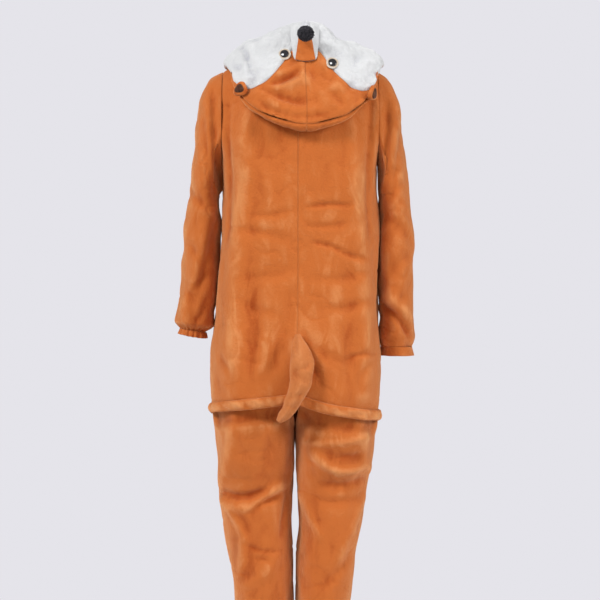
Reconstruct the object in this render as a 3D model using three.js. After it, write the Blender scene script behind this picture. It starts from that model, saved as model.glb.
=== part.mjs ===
// Fox onesie: a hooded one-piece costume in short-pile plush, standing in the form it takes when worn.
// Millimetres, +Z up. The front faces -Y and the wearer's left side is +X. The origin lies between the
// shoulders, level with the sides of the neck, where the wearer holds the garment up.
import * as THREE from "three";

const WALL = 3; // the plush with its pile
const SEAM = 0.3; // gap between two pieces where they are sewn together
const UNDERARM_Z = -308;
const SHOULDER_DROP = 38; // how far the shoulder seam falls from the neck to the armhole
const NECK = { halfWidth: 80, back: 60, front: 78, backDip: 12, frontDip: 56, dipPower: 2.2 };
const ARMHOLE = { left: 172, right: 182, halfDepth: 92 }; // x of each armhole, and half its depth
const NECK_SHARE = 0.31; // share of a panel's width at the top that is neckline; the rest is shoulder seam
const BODY_EXPONENT = 2.8; // squareness of the body's sections
const LEG_EXPONENT = 2.3; // squareness of the legs' sections

// Body and leg sections from the underarm down. left and right: how far each side reaches from x = 0.
// seamX: the centre seam. gap: space between the legs. split: 0 one body, 1 two legs.
const BODY_SECTIONS = [
  { z: -308, left: 172, right: 182, front: 125, back: 132, seamX: 0, gap: 0, split: 0 },
  { z: -450, left: 177, right: 184, front: 132, back: 129, seamX: 0, gap: 0, split: 0 },
  { z: -584, left: 189, right: 183, front: 142, back: 135, seamX: 1, gap: 0, split: 0 },
  { z: -690, left: 201, right: 185, front: 147, back: 149, seamX: 2, gap: 0, split: 0 },
  { z: -770, left: 199, right: 189, front: 145, back: 153, seamX: 4, gap: 0, split: 0.1 },
  { z: -825, left: 195, right: 187, front: 136, back: 143, seamX: 6, gap: 0, split: 0.52 },
  { z: -867, left: 190, right: 179, front: 126, back: 131, seamX: 7, gap: 1, split: 1 },
  { z: -930, left: 186, right: 169, front: 116, back: 119, seamX: 7, gap: 5, split: 1 },
  { z: -998, left: 182, right: 155, front: 107, back: 98, seamX: 7, gap: 12, split: 1 },
  { z: -1070, left: 172, right: 146, front: 99, back: 94, seamX: 7, gap: 14, split: 1 },
  { z: -1150, left: 160, right: 131, front: 92, back: 93, seamX: 8, gap: 9, split: 1 },
  { z: -1251, left: 143, right: 120, front: 84, back: 87, seamX: 8, gap: 8, split: 1 },
  { z: -1322, left: 132, right: 109, front: 76, back: 79, seamX: 8, gap: 10, split: 1 },
  { z: -1350, left: 117, right: 94, front: 58, back: 61, seamX: 8, gap: 38, split: 1 },
  { z: -1376, left: 115, right: 92, front: 56, back: 59, seamX: 8, gap: 42, split: 1 },
];
const LEG_END_Z = -1350;
const HEM_Z = -1376;

// Sleeve sections, from the armhole (row 0) to the elastic and the end of the cuff. Each runs from its
// inner point, beside the body, to its outer point; x is the distance from the middle of the garment.
const SLEEVE_SECTIONS = {
  left: [
    { row: 0, innerX: 172.8, innerZ: -308, outerX: 172.8, outerZ: -38, halfDepth: 92, centreY: 0 },
    { row: 1, innerX: 174.5, innerZ: -315, outerX: 203, outerZ: -54, halfDepth: 91, centreY: -1 },
    { row: 2, innerX: 177, innerZ: -320, outerX: 219, outerZ: -88, halfDepth: 88, centreY: -3 },
    { row: 3, innerX: 179.5, innerZ: -325, outerX: 231, outerZ: -147, halfDepth: 84, centreY: -5 },
    { row: 4, innerX: 181.5, innerZ: -330, outerX: 239, outerZ: -215, halfDepth: 80, centreY: -8 },
    { row: 5, innerX: 181.5, innerZ: -337, outerX: 247, outerZ: -285, halfDepth: 77, centreY: -10 },
    { row: 6, innerX: 181.5, innerZ: -350, outerX: 255, outerZ: -342, halfDepth: 75, centreY: -12 },
    { row: 7, innerX: 181, innerZ: -410, outerX: 261, outerZ: -406, halfDepth: 73, centreY: -14 },
    { row: 8, innerX: 183.5, innerZ: -470, outerX: 266, outerZ: -469, halfDepth: 72, centreY: -17 },
    { row: 9, innerX: 189, innerZ: -530, outerX: 271, outerZ: -530, halfDepth: 70, centreY: -20 },
    { row: 10, innerX: 194, innerZ: -583, outerX: 277, outerZ: -580, halfDepth: 68, centreY: -22 },
    { row: 11, innerX: 198, innerZ: -618, outerX: 285, outerZ: -609, halfDepth: 65, centreY: -24 },
    { row: 12, innerX: 214, innerZ: -636, outerX: 273, outerZ: -626, halfDepth: 46, centreY: -24 },
    { row: 13, innerX: 212, innerZ: -650, outerX: 276, outerZ: -639, halfDepth: 49, centreY: -24 },
  ],
  right: [
    { row: 0, innerX: 182.8, innerZ: -308, outerX: 182.8, outerZ: -38, halfDepth: 92, centreY: 0 },
    { row: 1, innerX: 184.5, innerZ: -315, outerX: 209, outerZ: -57, halfDepth: 91, centreY: -1 },
    { row: 2, innerX: 186, innerZ: -320, outerX: 225, outerZ: -92, halfDepth: 88, centreY: -3 },
    { row: 3, innerX: 187, innerZ: -325, outerX: 235, outerZ: -147, halfDepth: 84, centreY: -5 },
    { row: 4, innerX: 187.5, innerZ: -330, outerX: 245, outerZ: -212, halfDepth: 80, centreY: -8 },
    { row: 5, innerX: 186.5, innerZ: -338, outerX: 253, outerZ: -282, halfDepth: 77, centreY: -10 },
    { row: 6, innerX: 186.5, innerZ: -352, outerX: 260, outerZ: -346, halfDepth: 75, centreY: -12 },
    { row: 7, innerX: 187, innerZ: -410, outerX: 265, outerZ: -408, halfDepth: 73, centreY: -14 },
    { row: 8, innerX: 187.5, innerZ: -470, outerX: 267, outerZ: -470, halfDepth: 72, centreY: -17 },
    { row: 9, innerX: 187.5, innerZ: -530, outerX: 267, outerZ: -530, halfDepth: 71, centreY: -20 },
    { row: 10, innerX: 188, innerZ: -590, outerX: 266, outerZ: -590, halfDepth: 70, centreY: -22 },
    { row: 11, innerX: 189, innerZ: -640, outerX: 267, outerZ: -640, halfDepth: 68, centreY: -24 },
    { row: 12, innerX: 192, innerZ: -668, outerX: 265, outerZ: -668, halfDepth: 60, centreY: -25 },
    { row: 13, innerX: 192, innerZ: -689, outerX: 268, outerZ: -689, halfDepth: 61, centreY: -25 },
  ],
};
const ELASTIC_ROW = 12;
const CUFF_ROW = 13;

// The hood lies folded back. Each section runs from the neckline under the hood to its outer fold, and
// back up the outside to the rim. at: degrees round the neck from the centre back. fold, rim: points
// from the hood's own middle. under, outer1, outer2: control points, as a share of the way from the
// neckline to the fold (s) and a height (z). turn: half the width of the fold itself.
const HOOD_X = -15; // the hood lies a little to the wearer's right
const HOOD_SECTIONS = [
  {
    at: 0, foldX: 0, foldY: 140, foldZ: -188, underS: 0.75, underZ: -5, outer1S: 1.5, outer1Z: -170,
    outer2S: 1.02, outer2Z: -30, rimX: 0, rimY: 104, rimZ: 64, turn: 14,
  },
  {
    at: 30, foldX: 72, foldY: 137, foldZ: -170, underS: 0.75, underZ: 2, outer1S: 1.45, outer1Z: -150,
    outer2S: 1.0, outer2Z: -14, rimX: 46, rimY: 98, rimZ: 58, turn: 13,
  },
  {
    at: 58, foldX: 132, foldY: 118, foldZ: -122, underS: 0.72, underZ: 8, outer1S: 1.33, outer1Z: -98,
    outer2S: 0.92, outer2Z: 14, rimX: 78, rimY: 66, rimZ: 54, turn: 11,
  },
  {
    at: 80, foldX: 166, foldY: 58, foldZ: -42, underS: 0.62, underZ: 12, outer1S: 1.15, outer1Z: -22,
    outer2S: 0.62, outer2Z: 48, rimX: 90, rimY: 28, rimZ: 46, turn: 9,
  },
  {
    at: 100, foldX: 174, foldY: -5, foldZ: -28, underS: 0.54, underZ: 27, outer1S: 1.1, outer1Z: -2,
    outer2S: 0.52, outer2Z: 50, rimX: 90, rimY: -12, rimZ: 38, turn: 8,
  },
  {
    at: 125, foldX: 148, foldY: -86, foldZ: -52, underS: 0.46, underZ: 33, outer1S: 1.12, outer1Z: -34,
    outer2S: 0.6, outer2Z: 26, rimX: 76, rimY: -58, rimZ: 16, turn: 8,
  },
  {
    at: 150, foldX: 86, foldY: -126, foldZ: -96, underS: 0.6, underZ: -6, outer1S: 1.15, outer1Z: -72,
    outer2S: 0.72, outer2Z: -8, rimX: 48, rimY: -90, rimZ: -10, turn: 7,
  },
  {
    at: 178, foldX: 17, foldY: -116, foldZ: -96, underS: 0.7, underZ: -46, outer1S: 1.3, outer1Z: -84,
    outer2S: 0.95, outer2Z: -50, rimX: 16, rimY: -98, rimZ: -34, turn: 5,
  },
];
// The first angled section again, on the other side, so that the hood is smooth across its centre.
const mirrored = ({ at, foldX, rimX, ...rest }) => ({ at: -at, foldX: -foldX, rimX: -rimX, ...rest });
const HOOD_TABLE = [mirrored(HOOD_SECTIONS[1]), ...HOOD_SECTIONS];
const HOOD_END = 178;
// How far the hood's mouth sags on each side, between two angles round the neck.
const HOOD_SAG = { left: 6, right: 22, from: 15, to: 112, blend: 45, outer1: 0.3 };
// The seam between the orange crown and the white cheek, as a share of the way from fold to rim.
const CHEEK_SEAM = [
  { at: 0, share: 0.89 },
  { at: 15, share: 0.76 },
  { at: 30, share: 0.55 },
  { at: 45, share: 0.38 },
  { at: 60, share: 0.2 },
  { at: 72, share: 0.04 },
  { at: 90, share: 0.0 },
  { at: 180, share: 0.0 },
];
const CROWN_END = 72; // degrees round the neck at which the crown runs out, under the ear

// The largest folds. A fold runs from one point to another on the back or front, seen in x and z.
// Its height stands out of the cloth, or sinks in where it is negative.
const FOLDS = [
  { face: "back", x0: 128, z0: -200, x1: 140, z1: -760, width: 26, height: 5 },
  { face: "back", x0: -118, z0: -180, x1: -136, z1: -760, width: 26, height: 5 },
  { face: "back", x0: 30, z0: -985, x1: 150, z1: -1008, width: 17, height: -8 },
  { face: "back", x0: 60, z0: -1035, x1: 140, z1: -990, width: 17, height: 6 },
  { face: "back", x0: -20, z0: -905, x1: -140, z1: -880, width: 18, height: -7 },
  { face: "back", x0: -30, z0: -960, x1: -110, z1: -1000, width: 18, height: 7 },
  { face: "back", x0: 10, z0: -660, x1: 45, z1: -770, width: 24, height: -7 },
  { face: "front", x0: 110, z0: -250, x1: 128, z1: -720, width: 28, height: 5 },
  { face: "front", x0: -112, z0: -240, x1: -126, z1: -720, width: 28, height: 5 },
  { face: "front", x0: 40, z0: -1010, x1: 150, z1: -1030, width: 18, height: -6 },
  { face: "front", x0: -30, z0: -1015, x1: -130, z1: -1000, width: 18, height: -6 },
];
const SLEEVE_FOLDS = [
  { side: "left", x0: 190, z0: -90, x1: 184, z1: -330, width: 16, height: -7 },
  { side: "left", x0: 215, z0: -110, x1: 196, z1: -300, width: 13, height: 6 },
  { side: "right", x0: 200, z0: -120, x1: 196, z1: -300, width: 14, height: -6 },
  { side: "right", x0: 194, z0: -575, x1: 262, z1: -650, width: 13, height: -8 },
];

// The stuffed tail, from its root down. rise: how far its middle stands off the back.
const TAIL = [
  { row: 0, x: 1, z: -637, halfWidth: 6, halfDepth: 5, rise: 6 },
  { row: 1, x: -3, z: -662, halfWidth: 17, halfDepth: 10, rise: 14 },
  { row: 2, x: -9, z: -698, halfWidth: 27, halfDepth: 14, rise: 21 },
  { row: 3, x: -7, z: -733, halfWidth: 25, halfDepth: 15, rise: 26 },
  { row: 4, x: 4, z: -768, halfWidth: 20, halfDepth: 14, rise: 28 },
  { row: 5, x: 18, z: -798, halfWidth: 16, halfDepth: 12, rise: 27 },
  { row: 6, x: 33, z: -819, halfWidth: 12, halfDepth: 9, rise: 23 },
  { row: 7, x: 43, z: -830, halfWidth: 6, halfDepth: 5, rise: 20 },
];
// The seat flap's hem: how low it hangs at the centre, and how much lower at each side seam.
const FLAP = {
  centreZ: -784,
  leftDrop: 30,
  rightDrop: 44,
  tuck: 34,
  bandAbove: 16,
  bandBelow: 8,
  bandDepth: 8,
};
const PLACKET = { halfWidth: 18, topZ: -104, bottomZ: -640, thickness: 2.5 };
const BUTTON = { radius: 9, thickness: 4, count: 6, firstZ: -128, pitch: 92 };
// Places on the hood's outside. at: degrees round the neck, to the wearer's left where positive.
// share: from the outer fold (0) to the rim (1).
// sag: how much lower its bottom edge is at the centre. arch: how roundly it rises from its sides.
// crest: the share of its height at which the snout starts to fall away. edge: its height at the sides.
const SNOUT = {
  bottomAngle: 12,
  topAngle: 20,
  bottomShare: 0.72,
  topShare: 0.985,
  sag: 0.03,
  height: 30,
  arch: 0.9,
  crest: 0.72,
  edge: 0.6,
};
const STRIPE = { bottomAngle: 10, topAngle: 5, thickness: 1.5 };
const NOSE = { x: -17, y: 164, z: 27, radiusX: 18, radiusY: 13, radiusZ: 17 };
const EYES = [
  { name: "left", at: 21, share: 0.73 },
  { name: "right", at: -26, share: 0.66 },
];
const EYE = { ring: 14, pupil: 9.5, thickness: 2 };
const EARS = [
  { name: "left", at: 57, share: 0.2, innerWidth: 12, innerHeight: 11 },
  { name: "right", at: -58, share: 0.12, innerWidth: 8, innerHeight: 12 },
];
const EAR = { halfWidth: 20, halfHeight: 19, thickness: 7, innerThickness: 2 };

const COLOURS = { orange: 0xc8682c, white: 0xf2f1ee, black: 0x17151a, brown: 0x4a2416, tan: 0xb98a58 };

// ---------- tables and blends ----------

// A column of a table at a place between its rows: a cubic through the rows' values that never runs
// past them.
function column(table, key, name, place) {
  const last = table.length - 1;
  const rising = table[last][key] > table[0][key];
  let i = 0;
  while (i < last - 1 && (rising ? place > table[i + 1][key] : place < table[i + 1][key])) i += 1;
  const [low, high] = [table[i], table[i + 1]];
  const span = high[key] - low[key];
  const t = Math.min(Math.max((place - low[key]) / span, 0), 1);
  const rate = (a, b) => (b[name] - a[name]) / (b[key] - a[key]);
  const gentle = (p, q) => (p * q <= 0 ? 0 : (2 * p * q) / (p + q));
  const here = rate(low, high);
  const m0 = span * (i > 0 ? gentle(rate(table[i - 1], low), here) : here);
  const m1 = span * (i + 1 < last ? gentle(here, rate(high, table[i + 2])) : here);
  const [t2, t3] = [t * t, t * t * t];
  return (
    (2 * t3 - 3 * t2 + 1) * low[name] +
    (t3 - 2 * t2 + t) * m0 +
    (3 * t2 - 2 * t3) * high[name] +
    (t3 - t2) * m1
  );
}
const row = (table, key, place) =>
  Object.fromEntries(
    Object.keys(table[0])
      .filter((name) => typeof table[0][name] === "number")
      .map((name) => [name, column(table, key, name, place)]),
  );
const mix = (a, b, t) => a + (b - a) * t;
const smooth = (t) => {
  const c = Math.min(Math.max(t, 0), 1);
  return c * c * (3 - 2 * c);
};
// Distance from the middle of a superellipse to its edge, at an angle whose sine and cosine are given.
const superellipse = (sine, cosine, acrossHalf, alongHalf, n) =>
  (Math.abs(sine / acrossHalf) ** n + Math.abs(cosine / alongHalf) ** n) ** (-1 / n);

// ---------- body: front and back panels ----------

// A point on the body or a leg. side: 1 left, -1 right. angle: 0 centre front, half pi the side seam,
// pi centre back. On a leg, both ends meet at the inseam. whole: hangs clear of the cleft between the legs.
function bodyPoint(side, angle, z, whole = false) {
  const s = row(BODY_SECTIONS, "z", z);
  const split = whole ? 0 : s.split;
  const depth = angle < Math.PI / 2 ? s.front : s.back;
  const reach = side > 0 ? s.left - s.seamX : s.right + s.seamX;
  const [sine, cosine] = [Math.sin(angle), Math.cos(angle)];
  const r = superellipse(sine, cosine, reach, depth, BODY_EXPONENT);
  const turn = 2 * angle - Math.PI;
  const halfWidth = (reach - s.gap / 2) / 2;
  const q = superellipse(Math.cos(turn), Math.sin(turn), halfWidth, depth, LEG_EXPONENT);
  const across = mix(r * sine, s.gap / 2 + halfWidth + q * Math.cos(turn), split);
  const along = mix(-r * cosine, q * Math.sin(turn), split);
  return new THREE.Vector3(s.seamX + side * across, along, z);
}

// The top edge of a panel: its neckline and then its shoulder seam, from the centre (0) out (1).
function topEdge(side, face, s) {
  const armholeX = side > 0 ? ARMHOLE.left : ARMHOLE.right;
  const back = face === "back";
  if (s < NECK_SHARE) {
    const a = ((s / NECK_SHARE) * Math.PI) / 2;
    return {
      x: NECK.halfWidth * Math.sin(a),
      y: (back ? NECK.back : NECK.front) * Math.cos(a) + SEAM / 2,
      z: back ? -NECK.backDip * Math.cos(a) : -NECK.frontDip * Math.cos(a) ** NECK.dipPower,
    };
  }
  const f = (s - NECK_SHARE) / (1 - NECK_SHARE);
  return { x: mix(NECK.halfWidth, armholeX, f), y: SEAM / 2, z: -SHOULDER_DROP * f ** 1.3 };
}

// A point above the underarm: s runs from the centre (0) to the armhole (1), v from the underarm (0) to
// the neckline and shoulder seam (1).
function yokePoint(side, face, s, v) {
  const armholeX = side > 0 ? ARMHOLE.left : ARMHOLE.right;
  const sign = face === "back" ? 1 : -1;
  const angle = face === "back" ? Math.PI * (1 - s / 2) : (Math.PI * s) / 2;
  const ring = bodyPoint(side, angle, UNDERARM_Z);
  const centre = Math.abs(bodyPoint(side, face === "back" ? Math.PI : 0, UNDERARM_Z).y);
  const spread = Math.sin((s * Math.PI) / 2);
  const open = smooth(v / 0.28);
  const x = mix(Math.abs(ring.x), armholeX * spread, open);
  const y = mix(Math.abs(ring.y), mix(centre, ARMHOLE.halfDepth, spread ** 2.6), open);
  const top = topEdge(side, face, s);
  const t = (v * Math.PI) / 2;
  return new THREE.Vector3(
    side * mix(x, top.x, smooth(v)),
    sign * mix(top.y, y, Math.cos(t) ** 0.7),
    mix(UNDERARM_Z, top.z, Math.sin(t) ** 0.9),
  );
}

// How far the folds lift the cloth at a point, fading out towards the side seams.
function foldLift(p, face) {
  const fade = smooth(Math.abs(p.y) / 45);
  const armholeX = p.x > 0 ? ARMHOLE.left : ARMHOLE.right;
  const edge = p.z > UNDERARM_Z ? smooth((armholeX - Math.abs(p.x)) / 20) : 1;
  return (
    fade *
    edge *
    FOLDS.filter((f) => f.face === face).reduce((sum, f) => sum + foldHeight(f, p.x, p.z), 0)
  );
}

// One fold's height at a place: a soft bell across it, tapering off at both ends.
function foldHeight(f, x, z) {
  const [dx, dz] = [f.x1 - f.x0, f.z1 - f.z0];
  const length = Math.hypot(dx, dz);
  const along = ((x - f.x0) * dx + (z - f.z0) * dz) / length;
  const across = ((x - f.x0) * dz - (z - f.z0) * dx) / length;
  const past = Math.max(-along, along - length, 0);
  return f.height * Math.exp(-((across / f.width) ** 2) - (past / (1.5 * f.width)) ** 2);
}

// ---------- walls ----------

// The outward normal of surface(u, v), by small steps that stay between the first and last of us and vs.
function normalAt(surface, u, v, facing, us = [0, 1], vs = [0, 1]) {
  const step = (values) => (values[values.length - 1] - values[0]) * 1e-3;
  const clip = (t, values) => Math.min(Math.max(t, values[0]), values[values.length - 1]);
  const [hu, hv] = [step(us), step(vs)];
  const du = surface(clip(u + hu, us), v).sub(surface(clip(u - hu, us), v));
  const dv = surface(u, clip(v + hv, vs)).sub(surface(u, clip(v - hv, vs)));
  return du.cross(dv).normalize().multiplyScalar(facing);
}

// A closed wall on surface(u, v), from its outer face inwards. us and vs are the places of its columns
// and rows. round: u runs once round a tube, from 0 to 1. facing: 1 or -1, whichever points the normal
// out. lift(p) and offset(u, v) move the cloth out of the surface. thickness: a number, or a function of
// u and v. square: the first column's edge is cut square to x, at a centre seam.
function clothWall(surface, us, vs, options = {}) {
  const { round = false, facing = 1, thickness = WALL, lift, offset, square = false } = options;
  const depth = typeof thickness === "function" ? thickness : () => thickness;
  const [columns, rows] = [us.length, vs.length];
  const outer = [];
  const inner = [];
  for (const v of vs)
    for (const u of us) {
      const p = surface(u, v);
      const n = normalAt(surface, u, v, facing, round ? [-1, 2] : us, vs);
      if (square && u === us[0]) n.setX(0).normalize();
      const out = (lift ? lift(p) : 0) + (offset ? offset(u, v) : 0);
      outer.push(p.clone().addScaledVector(n, out));
      inner.push(p.clone().addScaledVector(n, out - depth(u, v)));
    }
  const at = (i, j) => j * columns + (round ? i % columns : i);
  const count = outer.length;
  const faces = [];
  const quad = (a, b, c, d) => faces.push(a, b, c, a, c, d);
  for (let j = 0; j < rows - 1; j += 1)
    for (let i = 0; i < (round ? columns : columns - 1); i += 1) {
      quad(at(i, j), at(i + 1, j), at(i + 1, j + 1), at(i, j + 1));
      quad(count + at(i, j + 1), count + at(i + 1, j + 1), count + at(i + 1, j), count + at(i, j));
    }
  for (let i = 0; i < (round ? columns : columns - 1); i += 1) {
    quad(at(i, 0), count + at(i, 0), count + at(i + 1, 0), at(i + 1, 0));
    quad(at(i, rows - 1), at(i + 1, rows - 1), count + at(i + 1, rows - 1), count + at(i, rows - 1));
  }
  if (!round)
    for (let j = 0; j < rows - 1; j += 1) {
      quad(at(0, j), at(0, j + 1), count + at(0, j + 1), count + at(0, j));
      const [here, next] = [at(columns - 1, j), at(columns - 1, j + 1)];
      quad(here, count + here, count + next, next);
    }
  return closedGeometry([...outer, ...inner], faces);
}

// A closed solid through rings of points, with a fan at each end.
function loft(rings) {
  const sides = rings[0].length;
  const points = rings.flat();
  const middle = (ring) =>
    ring.reduce((sum, p) => sum.add(p), new THREE.Vector3()).divideScalar(ring.length);
  const [first, last] = [points.length, points.length + 1];
  points.push(middle(rings[0]), middle(rings[rings.length - 1]));
  const faces = [];
  for (let i = 0; i < sides; i += 1) {
    const next = (i + 1) % sides;
    for (let j = 0; j < rings.length - 1; j += 1) {
      const [a, b] = [j * sides + i, j * sides + next];
      faces.push(a, b, b + sides, a, b + sides, a + sides);
    }
    const end = (rings.length - 1) * sides;
    faces.push(first, next, i, last, end + i, end + next);
  }
  return closedGeometry(points, faces);
}

// A geometry from points and triangles, turned so that its faces point out.
function closedGeometry(points, faces) {
  const volume = faces.reduce(
    (sum, _, k) =>
      k % 3 ? sum : sum + points[faces[k]].dot(points[faces[k + 1]].clone().cross(points[faces[k + 2]])),
    0,
  );
  const [second, third] = volume > 0 ? [1, 2] : [2, 1];
  const index = faces.flatMap((_, k) => (k % 3 ? [] : [faces[k], faces[k + second], faces[k + third]]));
  const geometry = new THREE.BufferGeometry().setFromPoints(points);
  geometry.setIndex(index);
  return geometry;
}

const steps = (from, to, count) =>
  Array.from({ length: count + 1 }, (_, i) => mix(from, to, i / count));

const onesie = new THREE.Group();
function add(name, geometry, colour, roughness = 0.85) {
  const mesh = new THREE.Mesh(
    geometry,
    new THREE.MeshStandardMaterial({ color: COLOURS[colour], roughness, metalness: 0 }),
  );
  mesh.name = name;
  onesie.add(mesh);
}

const SIDES = [
  { name: "left", side: 1 },
  { name: "right", side: -1 },
];
const CENTRE_GAP = 0.0018; // share of a panel's width kept clear at its centre and side seams
const NECK_COLUMNS = 5; // to each quarter of the neckline, on the panels and on the hood alike
const panelColumns = (neckColumns, shoulderColumns) => [
  CENTRE_GAP,
  ...steps(0, NECK_SHARE, neckColumns).slice(1),
  ...steps(NECK_SHARE, 1, shoulderColumns).slice(1, -1),
  1 - CENTRE_GAP,
];
const PANEL_COLUMNS = panelColumns(NECK_COLUMNS, 5);
const LEG_COLUMNS = panelColumns(2, 5);
const panelAngle = (face, s) => (face === "back" ? Math.PI * (1 - s / 2) : (Math.PI * s) / 2);

// How low the seat flap's edge hangs, at a share of the width from the centre to the side. It falls
// evenly on the left, and on the right mostly beside the tail.
const flapZ = (side, s) =>
  FLAP.centreZ - (side > 0 ? FLAP.leftDrop * s : FLAP.rightDrop * (1 - (1 - s) ** 2));

// A panel's surface: v from the top (0) to the underarm (yokeEnd) and on down to bottomZ(s) (1).
function panelSurface(side, face, yokeEnd, bottomZ) {
  return (s, v) =>
    v < yokeEnd
      ? yokePoint(side, face, s, 1 - v / yokeEnd)
      : bodyPoint(
          side,
          panelAngle(face, s),
          mix(UNDERARM_Z, bottomZ(s), (v - yokeEnd) / (1 - yokeEnd)),
          face === "back",
        );
}

const TUCK_DEPTH = WALL + 9; // how far the seat's top edge lies inside the flap
const YOKE_ROWS = [0, 0.1, 0.22, 0.38, 0.56, 0.74, 0.88];
const FRONT_YOKE = 0.3;
const frontShare = (z) =>
  FRONT_YOKE + ((1 - FRONT_YOKE) * (z - UNDERARM_Z)) / (LEG_END_Z - UNDERARM_Z);
const FRONT_ROWS = [
  ...YOKE_ROWS.map((r) => r * FRONT_YOKE),
  ...BODY_SECTIONS.filter((s) => s.z >= LEG_END_Z).map((s) => frontShare(s.z)),
];
for (const { name, side } of SIDES) {
  add(
    `front_panel_${name}`,
    clothWall(panelSurface(side, "front", FRONT_YOKE, () => LEG_END_Z), PANEL_COLUMNS, FRONT_ROWS, {
      facing: -side,
      lift: (p) => foldLift(p, "front"),
    }),
    "orange",
  );
  const backYoke = 0.4;
  add(
    `back_panel_${name}`,
    clothWall(
      panelSurface(side, "back", backYoke, (s) => flapZ(side, s)),
      PANEL_COLUMNS,
      [...YOKE_ROWS.map((r) => r * backYoke), ...steps(backYoke, 0.95, 6), 0.975, 1],
      { facing: side, lift: (p) => foldLift(p, "back") },
    ),
    "orange",
  );
  // The seat and leg start tucked under the flap and come out level with it below.
  const seatTop = (s) => flapZ(side, s) + FLAP.tuck;
  add(
    `seat_and_leg_${name}`,
    clothWall(
      (s, v) => bodyPoint(side, panelAngle("back", s), mix(seatTop(s), LEG_END_Z, v)),
      LEG_COLUMNS,
      [0, 0.055, 0.09, 0.13, 0.18, ...steps(0.26, 0.95, 7), 1],
      {
        facing: side,
        lift: (p) => foldLift(p, "back"),
        offset: (s, v) => -TUCK_DEPTH * smooth((mix(seatTop(s), LEG_END_Z, v) - flapZ(side, s) + 48) / 22),
      },
    ),
    "orange",
  );
}

// ---------- sleeves and cuffs ----------

// A point on a sleeve. turn: 0 at the inner side, round by the back, pi at the outer side, round by the front.
function sleevePoint(name, side, turn, place) {
  const s = row(SLEEVE_SECTIONS[name], "row", place);
  const back = turn <= Math.PI;
  const v = back ? turn / Math.PI : 2 - turn / Math.PI;
  const armhole = yokePoint(side, back ? "back" : "front", 1, Math.min(Math.max(v, 0), 1));
  const become = smooth(place / 3);
  const armholeShare = (armhole.z - UNDERARM_Z) / (UNDERARM_Z * -1 - SHOULDER_DROP);
  const share = mix(armholeShare, (1 - Math.cos(turn)) / 2, become);
  const sine = Math.sin(turn);
  const round = Math.sign(sine) * Math.abs(sine) ** 0.85;
  const y = mix((armhole.y * s.halfDepth) / ARMHOLE.halfDepth, s.centreY + s.halfDepth * round, become);
  return new THREE.Vector3(side * mix(s.innerX, s.outerX, share), y, mix(s.innerZ, s.outerZ, share));
}

const AROUND = steps(0, 1, 16).slice(0, -1);
for (const { name, side } of SIDES) {
  const lift = (p) =>
    smooth(p.y / 40) *
    SLEEVE_FOLDS.filter((f) => f.side === name).reduce(
      (sum, f) => sum + foldHeight(f, Math.abs(p.x), p.z),
      0,
    );
  const tube = (from, to) => (u, v) => sleevePoint(name, side, u * 2 * Math.PI, mix(from, to, v));
  add(
    `sleeve_${name}`,
    clothWall(tube(0, ELASTIC_ROW), AROUND, steps(0, 1, 13), { round: true, facing: side, lift }),
    "orange",
  );
  const seam = SEAM / 12;
  add(
    `cuff_${name}`,
    clothWall(tube(ELASTIC_ROW + seam, CUFF_ROW), AROUND, [0, 1], { round: true, facing: side }),
    "orange",
  );
}

// ---------- leg cuffs ----------

for (const { name, side } of SIDES)
  add(
    `leg_cuff_${name}`,
    clothWall(
      (u, v) => bodyPoint(side, u * Math.PI, mix(LEG_END_Z - 2 * SEAM, HEM_Z, v)),
      AROUND,
      [0, 1],
      { round: true, facing: -side },
    ),
    "orange",
  );

// ---------- the seat flap's rolled hem ----------

for (const { name, side } of SIDES) {
  const depth = (s, v) => 1 + (FLAP.bandDepth - 1) * Math.sqrt(Math.max(0, 1 - (2 * v - 1) ** 2));
  add(
    `flap_hem_${name}`,
    clothWall(
      (s, v) =>
        bodyPoint(side, panelAngle("back", s), flapZ(side, s) + mix(FLAP.bandAbove, -FLAP.bandBelow, v), true),
      PANEL_COLUMNS,
      [0, 0.2, 0.5, 0.8, 1],
      {
        facing: side,
        thickness: depth,
        lift: (p) => foldLift(p, "back"),
        offset: (s, v) => depth(s, v) + 4 * SEAM,
      },
    ),
    "orange",
  );
}

// ---------- tail ----------

// The back's y at a place seen from behind, found by halving the range of angles.
function backY(x, z) {
  const middle = column(BODY_SECTIONS, "z", "seamX", z);
  const side = x >= middle ? 1 : -1;
  let [low, high] = [Math.PI / 2, Math.PI];
  for (let i = 0; i < 30; i += 1) {
    const angle = (low + high) / 2;
    if (Math.abs(bodyPoint(side, angle, z, true).x - middle) > Math.abs(x - middle)) low = angle;
    else high = angle;
  }
  return bodyPoint(side, (low + high) / 2, z, true).y;
}

const tailSides = 12;
const tailRings = steps(0, TAIL.length - 1, TAIL.length + 3).map((place) => {
  const s = row(TAIL, "row", place);
  const ahead = row(TAIL, "row", Math.min(place + 0.1, TAIL.length - 1));
  const behind = row(TAIL, "row", Math.max(place - 0.1, 0));
  const tilt = Math.atan2(ahead.x - behind.x, behind.z - ahead.z);
  const y = backY(s.x, s.z) + s.rise;
  return steps(0, 2 * Math.PI, tailSides)
    .slice(0, -1)
    .map((a) => {
      const across = s.halfWidth * Math.cos(a);
      return new THREE.Vector3(
        s.x + across * Math.cos(tilt),
        y + s.halfDepth * Math.sin(a),
        s.z + across * Math.sin(tilt),
      );
    });
});
add("tail", loft(tailRings), "orange");

// ---------- front placket and buttons ----------

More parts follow.
